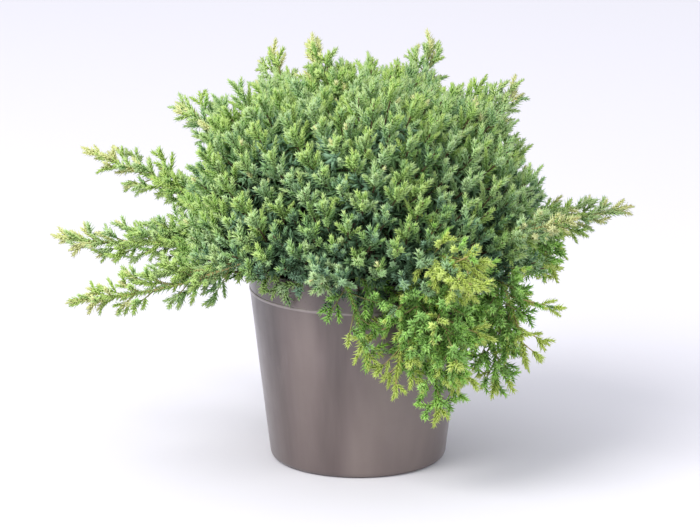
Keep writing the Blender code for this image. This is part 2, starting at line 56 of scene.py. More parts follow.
# Pot, from its node's box
_, POT_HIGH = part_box("pot")
POT_HEIGHT = POT_HIGH.z
LIP_RADIUS = POT_HIGH.x
LIP_PROUD = 0.0009
RIM_RADIUS = LIP_RADIUS - LIP_PROUD
FOOT_RADIUS = 0.0655
WALL = 0.0016
WALL_RINGS = 9
FLOOR = 0.0022
FOOT_ROUND = 0.004
FOOT_INSET = 0.0008
FOOT_DIP = 0.0005
BAND = 0.021
LIP = 0.0022
EDGE_ROUND = 0.0006
BEAD = 0.0010
BEAD_FOOT = 0.0016
BEAD_PROUD = 0.0006
BEAD_RINGS = 8
POT_SIDES = 144
POT_SMOOTH_DEG = 38.0
DRAIN_HOLES = 6
DRAIN_SIDES = 32
DRAIN_RADIUS = 0.0055
DRAIN_RING = 0.049
FLOOR_PLATE = DRAIN_RING + DRAIN_RADIUS * 1.5

# Soil: level round the trunk, falling to its edge, and loose on top
SOIL_LOW, SOIL_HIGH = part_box("soil")
SOIL_EDGE = POT_HEIGHT - 0.012
SOIL_TOP = SOIL_HIGH.z
SOIL_SIDES = 72
SOIL_RINGS = 33
SOIL_PLATE = 0.002
SOIL_LEVEL = 0.013
SOIL_FALL = 1.2
SOIL_SUNK = 0.0008
SOIL_CLEARANCE = 0.0003
SOIL_LOOSE_FROM = SOIL_EDGE - 0.003
SOIL_LOOSE_MARGIN = 0.001
SMOOTH_DEG = 60.0
CRUMBS = 900
CRUMBS_CLEARANCE = 0.003
CRUMBS_FROM = 0.01
CRUMB_LEAST = 0.0004
CRUMB_GROWTH = 0.0013
CRUMB_CURVE = 2.5
CRUMB_LIFT = 0.2
CRUMB_ROUGH = 0.28
CRUMB_STRETCH = (0.6, 1.3)

# Limbs: the same lines as their solids
TRUNK_LOW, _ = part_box("trunk")
TRUNK_FOOT = Vector((0.0, 0.0, TRUNK_LOW.z))
TRUNK_FOOT_RADIUS = 0.0078
TRUNK_TIP_RADIUS = 0.0026
TRUNK_LEAN = 0.003
TRUNK_POINTS = 40
TRUNK_SIDES = 36
FLARE_HEIGHT = 0.012
FLARE_SPREAD = 0.45
FLARE_ROOTS = 5
FLARE_LOBES = 0.4
BOUGH_FOOT_RADIUS = 0.0026
BOUGH_TIP_RADIUS = 0.0016
BOUGH_BEND = 0.024
BOUGH_POINTS = 26
BOUGH_SIDES = 14
BOUGH_BARK = 1.15
BOUGH_COLLAR = (1.25, 1.1)
MASS_STEM_RADII = (BOUGH_TIP_RADIUS, 0.0013, 0.0010)

# Bark: how closely its ridges, their wandering and its knots follow along a limb, and their shares
RIDGE_SCALE = 55.0
RIDGE_LEVEL = 0.4
WANDER_SCALE = 60.0
WANDER = 0.9
KNOT_SCALE = 120.0
KNOTS = 0.6

# Crown: a cushion about FOCUS, with one mass of foliage at each middle
FOCUS = Vector((0.0, 0.0, 0.150))
CROWN_REACH = 0.129
CROWN_TOP = 0.006
CROWN_SHOULDER = 0.015
OUTER_FACE = 1.02
SWELL = 0.28
CORE_INNER = 0.026
MIDDLE_DEPTH = 0.090
SHOULDER_DEPTH = 0.006
BOUGH_SHORT_OF_CORE = 0.004

# Rings of masses: their names, the first one's bearing, their rise, and where their boughs leave
LOW_NAMES = (
    "front_right", "right_front", "right", "right_back", "back",
    "left_back", "left", "left_front", "front",
)
HIGH_NAMES = ("high_front", "high_right", "high_back_right", "high_back_left", "high_left")
MASS_RINGS = (
    (LOW_NAMES, -60.0, 11.0, (0.012, 0.021)),
    (HIGH_NAMES, -87.0, 50.0, (0.033, 0.041)),
)

# Leaders that run out of the crown, by mass: the point each reaches, and how far it sags on the
# way, or arches where that is below 0
LEADERS = {
    "front_right": ((0.057, -0.120, 0.062, -0.034), (0.078, -0.138, 0.158, -0.030)),
    "right_front": ((0.101, -0.067, 0.067, -0.036), (0.156, -0.092, 0.203, -0.002)),
    "right": ((0.205, 0.050, 0.178, 0.010), (0.150, 0.068, 0.120, -0.022)),
    "right_back": ((0.116, 0.152, 0.196, 0.010),),
    "back": ((-0.026, 0.184, 0.152, 0.014), (0.010, 0.142, 0.104, -0.022)),
    "left_back": ((-0.209, 0.100, 0.211, 0.006),),
    "left": ((-0.225, 0.004, 0.166, 0.012),),
    "left_front": ((-0.206, -0.104, 0.146, 0.016),),
    "front": ((-0.034, -0.142, 0.170, 0.002), (0.007, -0.118, 0.100, -0.026)),
    "high_left": ((-0.132, 0.016, 0.264, 0.004),),
    "high_right": ((0.116, 0.024, 0.276, 0.004),),
    "high_back_left": ((-0.066, 0.104, 0.286, 0.004),),
    "high_back_right": ((0.056, 0.112, 0.290, 0.004),),
    "top": ((-0.036, 0.020, 0.308, 0.002),),
}
LEADER_POINTS = 12
LEADER_SIDES = 6
LEADER_FOOT_RADIUS = 0.0015
LEADER_TIP_RADIUS = 0.0006
LEADER_FOOT_BARE = 0.012
LEADER_TURNS = 9.0

# Sprigs on the leader itself: where they begin behind its tip, their length, and their steps
CLOTHED_FROM = 0.010
CLOTHED_SPRIG = 0.012
CLOTHED_LAP = 0.004
CLOTHED_STEP = 0.0070

# A leader's kind goes by its tip's height, and otherwise by its sag
DROOPER_TOP = 0.13
CREST_FOOT = 0.25
ARCHING_SAG = -0.025

# How a leader is tinted: its lit needles, its palest ones, their share, and its pale end's length
LEADER_TINTS = {
    "whip": ("fresh", "golden", 0.08, 0.050),
    "arching": ("lush", "lime", 0.40, 0.090),
    "drooper": ("lush", "lime", 0.06, 0.036),
    "crest": ("fresh", "golden", 0.02, 0.020),
}

# The same for the shoots beside a leader, and for a whip whose tip is nearer than GOLDEN_REACH
BESIDE_TINTS = {
    "whip": ("fresh", "fresh", 0.00, 0.008),
    "arching": ("lush", "lime", 0.30, 0.050),
    "drooper": ("lush", "lime", 0.03, 0.014),
    "crest": ("fresh", "golden", 0.00, 0.010),
}
GOLDEN_REACH = 0.150

# Shorter shoots beside each leader: how many, how far they go, and how far apart they spread.
# They spread less up and down than sideways, and every few beside a drooper are arching ones
COMPANIONS = {
    "crest": (4, 0.50, 0.80, 0.020),
    "whip": (4, 0.42, 0.68, 0.018),
    "arching": (4, 0.62, 0.86, 0.030),
    "drooper": (8, 0.55, 0.86, 0.032),
}
BESIDE_UNEVEN = (0.6, 1.0)
BESIDE_FLATTENED = 0.4
PALE_EVERY = 4

# A leader's needles take darker tints inside the crown as painted shade, and more of them take lit and
# pale tints the further out they are, the lit ones as painted light, where a drop below the rim counts
# too. Droopers run through HANGING in patches
SHADED_INSIDE = -0.01
SHADED_SHARE = 0.5
SUNNY_SHADED_SHARE = 0.1
HANGING_LIT = 1.5
LIT_SHARE = 0.4
LIT_RISE = 7.0
PALE_RISE = 0.8
PALE_TIP = 0.2
HANGING = ("moss", "moss", "lush", "lime")
HANGING_LEVEL = 1.90
HANGING_PATCHES = 1.5
HANGING_SCATTER = 0.25
HANGING_TIP = 0.3

# Plumes: the shoots that cover the crown, spread by the rule that the solids' sprays follow
PLUME_COUNT = 360
PLUME_CROWDING = 1.10
PLUME_LOWEST_DEG = -2.0
PLUME_REACH = 0.95
PLUME_UNEVEN = 0.09
PLUME_LIFT = 1.05
LIFT_FROM = 0.2
LIFT_RISE = 1.6
PLUME_START = 0.022
PLUME_BEND = 0.60
PLUME_POINTS = 7
PLUME_SIDES = 4
PLUME_BEARING = 0.040
PLUME_RADIUS = 0.0010
FINGERS_FROM = 0.20
FINGERS_PATCHES = 0.6
CLUMP_SCALE = 3.4
CLUMP_DEPTH = 0.10
CYCLE = 7

# Old needles inside the crown: dark as old needles are, darker still below a height over the focus as
# painted shade, and kept off the rim
OLD_ANGLES_DEG = (40.0, 65.0)
OLD_LENGTHS = (0.018, 0.030)
OLD_STEPS = (0.0052, 0.0080)
OLD_FOOT = 0.008
OLD_NEEDLES_DARK = 0.045
OLD_NEEDLES_OVER_RIM = 0.006
HEART_FROM = 0.004

# Places kept clear of needles in and about the pot
CLEAR_OVER_RIM = 0.004
CLEAR_INSIDE_RIM = 0.008
CLEAR_OUTSIDE_RIM = 0.003
CLEAR_OVER_SOIL = 0.002

# Bearings where the photograph shows the rim, and the wall under its band, bare of long shoots
RIM_SHOWS_DEG = (-146.0, -78.0)
RIM_CLEARANCE = 0.013
BARE_WALL_DEG = (-150.0, -94.5)
BARE_WALL_TOP = POT_HEIGHT - 0.019

# Plumes that hang over the rim all round, and where it shows the shorter tufts, each with its
# bearing in degrees and its tip's drop below the rim
FRINGE_COUNT = 30
FRINGE_TIP_RADIUS = 0.101
FRINGE_TIP_HEIGHT = POT_HEIGHT + 0.002
FRINGE_UNEVEN = 0.008
FRINGE_LENGTH = 0.040
FRINGE_BEARING = FRINGE_LENGTH * 0.6
FRINGE_FOOT_RISE = 0.006
FRINGE_FOOT_INWARD = 0.012
FRINGE_ARCH = 0.008
FRINGE_DROP = 0.80
FRINGE_DROP_UNEVEN = 0.3
# FRINGE_PALER lifts these plumes up the crown's ladder of painted light, out of its painted shade at the
# foot
FRINGE_PALER = 1.6
RIM_TUFTS = (
    (-167.0, 0.010), (-153.0, 0.006), (-141.0, 0.010), (-134.0, 0.013), (-127.0, 0.012),
    (-119.0, 0.009), (-103.0, 0.013), (-90.0, 0.014), (-80.0, 0.010),
)
RIM_TUFT_RADIUS = 0.089
RIM_TUFT_DROP = 1.4
RIM_TUFT_LIFT = 0.003
# RIM_TUFT_PALER lifts the tufts further up that ladder of painted light
RIM_TUFT_PALER = 3.6

# Needles, in whorls of three. Widths are shares of a needle's length
NEEDLE_WIDTH = 0.31
NEEDLE_WIDEST = 0.30
NEEDLE_KEEL = 0.12
MOST_TRIANGLES = 190000

# Kinds of sprig: how far needles stand off the stem, their length, and the step between whorls
SPRIG_KINDS = {
    "open": {"spread": 52.0, "needle": 0.0066, "whorl": 0.0015},
    "pressed": {"spread": 37.0, "needle": 0.0065, "whorl": 0.00135},
    "old": {"spread": 64.0, "needle": 0.0125, "whorl": 0.0045},
}
SPRIG_LENGTHS = (0.008, 0.012, 0.016, 0.021, 0.028)
SPRIG_VARIANTS = 9
SPRIG_STRETCH = (0.80, 1.12)
SPRIG_SWAY = 0.10
SPRIG_TIP_FROM = (0.45, 0.8)
STEM_SIDES = 3
STEM_RADIUS = 0.00042

# Needles lean in towards the sprig's tip, are longest about its middle, and close round its bud
FIRST_WHORL = 0.4
LEAN_IN = 0.62
LEAN_CURVE = 1.8
TILT_SCATTER_DEG = 5.0
TURN_SCATTER = 0.14
GROWN_FROM = 0.22
GROWN_OVER = 0.62
GROWN_CURVE = 0.7
NEEDLE_UNEVEN = (0.86, 1.1)
BUD_PLACE = 0.97
BUD_TILTS_DEG = (5.0, 14.0)
BUD_NEEDLES = (0.42, 0.58)

# How each kind of shoot branches, in metres and degrees. Terminal is its tip sprig, first the
# share of that at which side shoots begin, and step the room between them. They grow from
# shortest to longest over grown_by, by the power curve. Those longer than splits are shoots of
# the kind named by side: they bow, and branch again on a stem of their own
Habit = namedtuple(
    "Habit",
    "kind terminal first step angle lift shortest longest grown_by side curve splits bow stem",
    defaults=(1.0, math.inf, 0.0, "green_stems"),
)
HABITS = {
    "plume": Habit("open", 0.014, 0.40, 0.0040, 44.0, 0.55, 0.007, 0.018, 0.025, "twiglet"),
    "finger": Habit("pressed", 0.015, 0.38, 0.0040, 44.0, 0.55, 0.007, 0.018, 0.025, "twiglet"),
    "crest": Habit(
        "pressed", 0.015, 0.45, 0.0042, 40.0, 0.15, 0.009, 0.030, 0.050, "twiglet", 1.0, 0.015
    ),
    "whip": Habit(
        "pressed", 0.019, 0.60, 0.0044, 36.0, 0.06, 0.008, 0.029, 0.075, "feather", 1.25, 0.013, 0.08
    ),
    "arching": Habit(
        "pressed", 0.019, 0.60, 0.0062, 50.0, 0.05, 0.010, 0.036, 0.050, "twiglet", 1.0, 0.017, 0.0,
        "young_stems",
    ),
    "drooper": Habit(
        "open", 0.014, 0.45, 0.0044, 46.0, 0.05, 0.009, 0.030, 0.045, "spray", 1.0, 0.016, 0.02
    ),
    "twiglet": Habit("pressed", 0.011, 0.50, 0.0042, 38.0, 0.05, 0.006, 0.013, 0.018, "twiglet"),
    "feather": Habit("pressed", 0.013, 0.36, 0.0033, 35.0, 0.03, 0.006, 0.012, 0.018, "feather"),
    "spray": Habit("open", 0.011, 0.45, 0.0044, 46.0, 0.0, 0.006, 0.014, 0.019, "spray"),
}

# Unevenness of every shoot. Side shoots stand off further, and further apart, behind its tip
STEP_UNEVEN = (0.85, 1.15)
LENGTH_UNEVEN = (0.82, 1.15)
ANGLE_SCATTER_DEG = 7.0
ROUND_SCATTER = 0.3
ANGLE_AT_TIP = 0.75
ANGLE_BEHIND = 0.35
STEP_WIDENING = 0.8
SIDE_POINTS = 4
SIDE_STEM = 1.5
SIDE_BEARING = 0.72
SHOOT_FOOT_BARE = 0.002

# Needle tints: the outer side of a needle, and its upper side with the pale bloom
# Inner, deep, mid and fresh are also the steps of the crown's painted shade and light, in PALER
TINTS = {
    "inner": ((0.044, 0.098, 0.042), (0.078, 0.158, 0.075)),
    "deep": ((0.135, 0.265, 0.110), (0.215, 0.370, 0.195)),
    "mid": ((0.290, 0.475, 0.160), (0.370, 0.570, 0.250)),
    "leaf": ((0.365, 0.560, 0.180), (0.435, 0.635, 0.260)),
    "moss": ((0.220, 0.445, 0.082), (0.290, 0.535, 0.135)),
    "lush": ((0.380, 0.690, 0.125), (0.440, 0.745, 0.185)),
    "fresh": ((0.450, 0.615, 0.210), (0.500, 0.675, 0.285)),
    "lime": ((0.600, 0.750, 0.160), (0.640, 0.790, 0.220)),
    "golden": ((0.665, 0.705, 0.300), (0.705, 0.745, 0.380)),
}

# Some patches of the crown are warmer and some cooler, by shares of these tints' red, green and blue.
# Its shaded foot is cooler, as painted shade, except on the sunny side, left of SUNNY_REACH
HUES = {"warm": (0.98, 1.00, 0.76), "cool": (0.98, 0.99, 1.16)}
HUED = ("deep", "mid", "leaf", "fresh")
PATCH_SCALE = 38.0
HUE_SCATTER = 0.12
WARM_FROM = 0.08
COOL_BELOW = -0.17
COOL_FOOT = 0.30
COOL_FOOT_HEIGHT = 0.08
SUNNY_REACH = 0.06

# The crown's tints from its shaded inside to its lit tips, as painted light and shade. A sprig's level
# in PALER rises with its height as painted light from above, in patches, and to the left as painted
# light on the sunny side, and falls in steps towards the inside as painted shade. The tips of the
# outermost sprigs are never darker than mid, as painted light on the crown's face
PALER = ("inner", "deep", "mid", "fresh")
LIT_HEIGHT = 0.14
LEVEL_FOOT = -0.15
LEVEL_RISE = 8.3
LEVEL_EASE = 3.5
LEVEL_PATCHES = 1.4
LEVEL_PATCH_SCALE = 22.0
LEVEL_SCATTER = 0.45
SUNNY_SIDE = 6.0
SUNNY_FROM = 0.42
LEADING_PALER = 0.4
SHADED_DEPTHS = (0.84, 0.74)
OUTERMOST = 0.97
GOLDEN_SHARE = 0.03

# Small mounds about the crown's middle height, where tips and older needles are paler
MOUND_SCALE = 46.0
MOUND_DEPTH = 3.2
MOUND_LIT = -0.01
MOUND_TINTS = ("inner", "deep", "mid", "leaf")

# Finishes: stops of a ramp as (place, colour), what lies over them, and each peat's two browns
# with the scale of its lumps
# With the mottle stretched upright, the taupe ramp's deep stops give bands of painted reflection over
# the plastic's own tone
TAUPE_AND_PAINTED_BANDS = ((0.38, (0.070, 0.051, 0.049)), (0.49, (0.119, 0.089, 0.086)), (0.63, (0.210, 0.166, 0.152)))
DRAW_MARKS = (0.27, 0.22, 0.21)
# The colour the pot darkens towards at its bottom
LOW_DARKENING = (0.095, 0.070, 0.060)
DRIED_WATER = (0.36, 0.32, 0.30)
# Pale colour of a painted highlight along the top of the bead and the lip
PAINTED_EDGE_HIGHLIGHT = (0.36, 0.31, 0.30)
# Soil dust on the pot, which also serves as painted shade under the rim
POT_DUST_AND_SHADE = (0.090, 0.062, 0.045)
DUST_ON_BARK = (0.10, 0.07, 0.05)
BARK = ((0.42, (0.085, 0.038, 0.022)), (0.70, (0.235, 0.120, 0.066)), (1.05, (0.330, 0.245, 0.180)))
LOOSE_PEAT = ((0.020, 0.012, 0.008), (0.085, 0.055, 0.036), 620.0)
CRUMB_PEAT = ((0.030, 0.018, 0.011), (0.110, 0.072, 0.046), 900.0)
TWIG_BROWN = (0.110, 0.070, 0.040)
STEM_TAN = (0.500, 0.390, 0.170)
STEM_GREEN = (0.260, 0.250, 0.095)

# Camera, at the photograph's distance and height
CAMERA_DISTANCE = 2.70
CAMERA_RISE_DEG = 14.5
CAMERA_LENS = 188.0
CAMERA_AIM = Vector((-0.006, 0.0, 0.146))

# Stage: the floor and the sky, and each lamp's place, size, power and colour
PAPER = (0.71, 0.70, 0.74, 1.0)
PAPER_SIZE = 24.0
PAPER_PLACE = (0.0, 4.0, 0.0)
SKY = (0.93, 0.94, 1.0, 1.0)
SKY_STRENGTH = 1.1
LAMPS = {
    "key": (Vector((-1.7, -1.6, 2.6)), 1.8, 98.0, (1.0, 0.985, 0.96)),
    "fill": (Vector((2.3, -1.5, 1.3)), 1.8, 6.0, (0.95, 0.97, 1.0)),
}

# A Mix node lists its sockets once for each kind of data: these are the colour ones
COLOUR_A, COLOUR_B, COLOUR_OUT = 6, 7, 2

# The golden angle keeps shoots apart. A line steeper than UPRIGHT takes its first side from +X
GOLDEN_ANGLE = math.pi * (3.0 - math.sqrt(5.0))
UPRIGHT = 0.9

# Helpers


def deselect_all():
    bpy.ops.object.select_all(action="DESELECT")


def pick(obj):
    """Selects one object alone and makes it the active one."""
    deselect_all()
    obj.select_set(True)
    bpy.context.view_layer.objects.active = obj


def settled(name):
    """The new primitive under its name, with its place in its mesh."""
    made = bpy.context.object
    made.name = made.data.name = name
    bpy.ops.object.transform_apply(location=True, rotation=True, scale=True)
    return made


def apply_all(obj):
    pick(obj)
    for modifier in list(obj.modifiers):
        bpy.ops.object.modifier_apply(modifier=modifier.name)


def smooth(obj, degrees):
    pick(obj)
    bpy.ops.object.shade_smooth_by_angle(angle=math.radians(degrees))


def dress(obj, material, nodes):
    """Gives a finished piece its material, its body and the nodes it stands for."""
    if material:
        obj.data.materials.clear()
        obj.data.materials.append(material)
    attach(obj, "root")
    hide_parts(*nodes)
    return obj


def bend(start, through, end, count):
    """Points of the quadratic curve from start to end that is drawn towards through."""
    shares = [step / (count - 1) for step in range(count)]
    return [start * (1 - t) ** 2 + through * 2 * t * (1 - t) + end * t**2 for t in shares]


def tapered(first, last, count):
    return [first + (last - first) * step / max(1, count - 1) for step in range(count)]


def up(height):
    return Vector((0.0, 0.0, height))


def polar(radius, azimuth, height):
    return (radius * math.cos(azimuth), radius * math.sin(azimuth), height)


def from_angles(azimuth_deg, rise_deg):
    rise = math.radians(rise_deg)
    return Vector(polar(math.cos(rise), math.radians(azimuth_deg), math.sin(rise)))


def mesh_from_arrays(name, points, faces, slots=None):
    """A mesh object from arrays of points and triangles, with each triangle's material slot."""
    mesh = bpy.data.meshes.new(name)
    mesh.vertices.add(len(points))
    mesh.vertices.foreach_set("co", np.asarray(points, np.float32).ravel())
    mesh.loops.add(len(faces) * 3)
    mesh.loops.foreach_set("vertex_index", np.asarray(faces, np.int32).ravel())
    mesh.polygons.add(len(faces))
    mesh.polygons.foreach_set("loop_start", np.arange(0, len(faces) * 3, 3, dtype=np.int32))
    if slots is not None:
        mesh.polygons.foreach_set("material_index", np.asarray(slots, np.int32))
    mesh.update(calc_edges=True)
    mesh.validate()
    made = bpy.data.objects.new(name, mesh)
    bpy.context.scene.collection.objects.link(made)
    return made


# Materials


def shader_group(name, inputs, outputs):
    """An empty shader group with float or colour sockets, and its input and output nodes."""
    group = bpy.data.node_groups.new(name, "ShaderNodeTree")
    for socket, kind, value in inputs:
        made = group.interface.new_socket(name=socket, in_out="INPUT", socket_type=kind)
        if value is not None:
            made.default_value = value
    for socket, kind in outputs:
        group.interface.new_socket(name=socket, in_out="OUTPUT", socket_type=kind)
    return group, group.nodes.new("NodeGroupInput"), group.nodes.new("NodeGroupOutput")


def give(tree, socket, value):
    """Links another node's output to an input, or sets it to a number, a vector or a colour."""
    if isinstance(value, bpy.types.NodeSocket):
        tree.links.new(value, socket)
    elif socket.type == "RGBA":
        socket.default_value = (*value, 1.0)
    else:
        socket.default_value = value


def fill(tree, node, inputs):
    """Gives a node's inputs, by name or number, their values or links."""
    for name, value in inputs.items():
        give(tree, node.inputs[name], value)
    return node.outputs


def add_node(tree, kind, inputs):
    """A new node's outputs."""
    return fill(tree, tree.nodes.new(kind), inputs)


def math_node(tree, operation, first, second=0.0, clamp=False):
    made = tree.nodes.new("ShaderNodeMath")
    made.operation = operation
    made.use_clamp = clamp
    return fill(tree, made, {0: first, 1: second})[0]


def times(tree, value, share):
    return math_node(tree, "MULTIPLY", value, share)


def noise_node(tree, vector, scale, detail=4.0, rough=0.55, distortion=0.0):
    inputs = {
        "Vector": vector, "Scale": scale, "Detail": detail, "Roughness": rough, "Distortion": distortion,
    }
    return add_node(tree, "ShaderNodeTexNoise", inputs)["Fac"]


def cells(tree, vector, scale):
    return add_node(tree, "ShaderNodeTexVoronoi", {"Vector": vector, "Scale": scale})["Distance"]


def ramp_node(tree, value, stops):
    """A colour ramp through (place, colour) stops."""
    made = tree.nodes.new("ShaderNodeValToRGB")
    ramp = made.color_ramp
    ramp.elements[0].position, ramp.elements[0].color = stops[0][0], (*stops[0][1], 1.0)
    ramp.elements[1].position, ramp.elements[1].color = stops[-1][0], (*stops[-1][1], 1.0)
    for place, colour in stops[1:-1]:
        ramp.elements.new(place).color = (*colour, 1.0)
    return fill(tree, made, {"Fac": value})["Color"]


def mix_colours(tree, share, first, second):
    made = tree.nodes.new("ShaderNodeMix")
    made.data_type = "RGBA"
    return fill(tree, made, {"Factor": share, COLOUR_A: first, COLOUR_B: second})[COLOUR_OUT]


def stain(tree, colour, mask, share, over):
    """The colour, with that share of another over it where the mask is full."""
    return mix_colours(tree, times(tree, mask, share), colour, over)


def mapped(tree, scale=(1.0, 1.0, 1.0)):
    """Object coordinates, stretched."""
    where = tree.nodes.new("ShaderNodeTexCoord").outputs["Object"]
    return add_node(tree, "ShaderNodeMapping", {"Vector": where, "Scale": scale})["Vector"]


def remap(tree, value, low, high, out_low=0.0, out_high=1.0):
    inputs = {"Value": value, "From Min": low, "From Max": high, "To Min": out_low, "To Max": out_high}
    return add_node(tree, "ShaderNodeMapRange", inputs)["Result"]


def bump_node(tree, height, strength, distance, onto=None):
    inputs = {"Height": height, "Strength": strength, "Distance": distance}
    if onto is not None:
        inputs["Normal"] = onto
    return add_node(tree, "ShaderNodeBump", inputs)["Normal"]


def new_material(name, roughness, specular=0.5):
    made = bpy.data.materials.new(name)
    made.use_nodes = True
    shader = made.node_tree.nodes["Principled BSDF"]
    shader.inputs["Roughness"].default_value = roughness
    shader.inputs["Specular IOR Level"].default_value = specular
    return made, made.node_tree, shader


def soil_dust_group():
    """Where soil dust clings: in specks and thin smears, thicker where Amount is high."""
    group, given, out = shader_group(
        "soil_dust",
        (("Vector", "NodeSocketVector", None), ("Amount", "NodeSocketFloat", 0.5)),
        (("Mask", "NodeSocketFloat"), ("Height", "NodeSocketFloat")),
    )
    vector = given.outputs["Vector"]
    smears = remap(group, noise_node(group, vector, 38.0, 5.0, 0.62), 0.50, 0.78)
    specks = remap(group, cells(group, vector, 260.0), 0.22, 0.08)
    both = math_node(group, "ADD", times(group, specks, 0.6), smears, True)
    mask = math_node(group, "MULTIPLY", both, given.outputs["Amount"], True)
    give(group, out.inputs["Mask"], mask)
    give(group, out.inputs["Height"], times(group, mask, specks))
    return group


def dusted(tree, dust, vector, amount):
    made = tree.nodes.new("ShaderNodeGroup")
    made.node_tree = dust
    return fill(tree, made, {"Vector": vector, "Amount": amount})


def taupe_plastic(dust):
    """Taupe nursery plastic: faint mottling stretched into upright bands of painted reflection, draw
    marks and dried water, darker towards the bottom, a painted highlight along the bead and the lip, and
    soil dust under the rim that is partly painted shade.
    """
    made, tree, shader = new_material("taupe_plastic", 0.34, 0.5)
    shader.inputs["Coat Weight"].default_value = 0.35
    shader.inputs["Coat Roughness"].default_value = 0.16
    where = mapped(tree)
    drawn = mapped(tree, (1.0, 1.0, 0.06))
    height = add_node(tree, "ShaderNodeSeparateXYZ", {"Vector": where})["Z"]
    # Mottle stretched upright: the plastic's own tone, and bands of painted reflection
    mottle = noise_node(tree, mapped(tree, (1.0, 1.0, 0.28)), 14.0, 3.0, 0.42, 0.4)
    colour = ramp_node(tree, mottle, TAUPE_AND_PAINTED_BANDS)
    streak = remap(tree, noise_node(tree, drawn, 90.0, 3.0), 0.35, 0.75)
    colour = stain(tree, colour, streak, 0.22, DRAW_MARKS)
    # Darker towards the bottom, below a wavy line
    wave = noise_node(tree, mapped(tree, (1.0, 1.0, 0.35)), 12.0, 3.0, 0.5, 0.4)
    low_darkening = remap(tree, math_node(tree, "ADD", height, times(tree, wave, -0.050)), 0.068, 0.048)
    colour = stain(tree, colour, low_darkening, 0.28, LOW_DARKENING)
    water = noise_node(tree, mapped(tree, (1.0, 1.0, 0.22)), 34.0, 6.0, 0.68, 0.5)
    dried = remap(tree, water, 0.60, 0.74)
    colour = stain(tree, colour, dried, 0.16, DRIED_WATER)
    # A painted highlight: a pale line along the bead and along the lip's top edge
    for edge, reach in ((POT_HEIGHT - BAND, BEAD * 1.6), (POT_HEIGHT, 0.0012)):
        away = math_node(tree, "ABSOLUTE", math_node(tree, "SUBTRACT", height, edge))
        colour = stain(tree, colour, remap(tree, away, reach, reach * 0.4), 0.65, PAINTED_EDGE_HIGHLIGHT)
    # Soil dust, thicker towards the rim, where it also stands for painted shade under the foliage
    dust_and_rim_shade = remap(tree, height, POT_HEIGHT - 0.04, POT_HEIGHT, 0.10, 0.60)
    dusty = dusted(tree, dust, where, dust_and_rim_shade)
    colour = mix_colours(tree, dusty["Mask"], colour, POT_DUST_AND_SHADE)
    give(tree, shader.inputs["Base Color"], colour)
    dull = remap(tree, noise_node(tree, where, 55.0, 4.0), 0.3, 0.7, 0.30, 0.42)
    for mask, share in ((dusty["Mask"], 0.4), (dried, 0.12)):
        dull = math_node(tree, "ADD", dull, times(tree, mask, share), True)
    give(tree, shader.inputs["Roughness"], dull)
    skin = bump_node(tree, noise_node(tree, where, 420.0, 2.0), 0.10, 0.0002)
    marks = bump_node(tree, noise_node(tree, drawn, 160.0, 2.0), 0.12, 0.0003, skin)
    give(tree, shader.inputs["Normal"], bump_node(tree, dusty["Height"], 0.4, 0.0004, marks))
    return made


def peat(name, dark, pale, scale):
    """Loose peat: fine crumbs in two browns, with pits between them."""
    made, tree, shader = new_material(name, 0.95, 0.2)
    where = mapped(tree)
    mixed = noise_node(tree, where, scale * 0.3, 6.0, 0.65)
    give(tree, shader.inputs["Base Color"], ramp_node(tree, mixed, ((0.34, dark), (0.70, pale))))
    lumps = bump_node(tree, cells(tree, where, scale), 0.8, 0.0012)
    give(tree, shader.inputs["Normal"], bump_node(tree, mixed, 0.6, 0.0008, lumps))
    return made


def old_bark(dust):
    """Thin flaking bark: red-brown under grey-brown strips that run along the limb."""
    made, tree, shader = new_material("old_bark", 0.85, 0.25)
    where = mapped(tree)
    inputs = {"Vector": where, "Scale": 60.0, "Distortion": 9.0, "Detail": 4.0, "Detail Scale": 2.2}
    strips = add_node(tree, "ShaderNodeTexWave", inputs)["Fac"]
    patches = noise_node(tree, where, 210.0, 6.0, 0.66)
    flakes = math_node(tree, "ADD", times(tree, strips, 0.5), patches)
    dusty = dusted(tree, dust, where, 0.5)["Mask"]
    colour = mix_colours(tree, dusty, ramp_node(tree, flakes, BARK), DUST_ON_BARK)
    give(tree, shader.inputs["Base Color"], colour)
    give(tree, shader.inputs["Normal"], bump_node(tree, flakes, 0.7, 0.0006))
    return made


def plain_tint(name, colour, roughness, specular=0.35):
    made, tree, shader = new_material(name, roughness, specular)
    give(tree, shader.inputs["Base Color"], colour)
    return made


def with_hues():
    """The needle tints, and the warm and cool kinds of those that have them."""
    tints = dict(TINTS)
    for tint in HUED:
        for hue, shares in HUES.items():
            tints[f"{tint}_{hue}"] = tuple(
                tuple(part * share for part, share in zip(colour, shares)) for colour in TINTS[tint]
            )
    return tints


def foliage_materials():
    materials = {
        "old_twigs": plain_tint("twig_brown", TWIG_BROWN, 0.8, 0.25),
        "young_stems": plain_tint("stem_tan", STEM_TAN, 0.6),
        "green_stems": plain_tint("stem_green", STEM_GREEN, 0.6),
    }
    for tint, (outer, upper) in with_hues().items():
        materials[tint] = plain_tint(f"needle_{tint}", outer, 0.45)
        materials[f"{tint}_upper"] = plain_tint(f"needle_{tint}_upper", upper, 0.55)
    return materials


# Pot


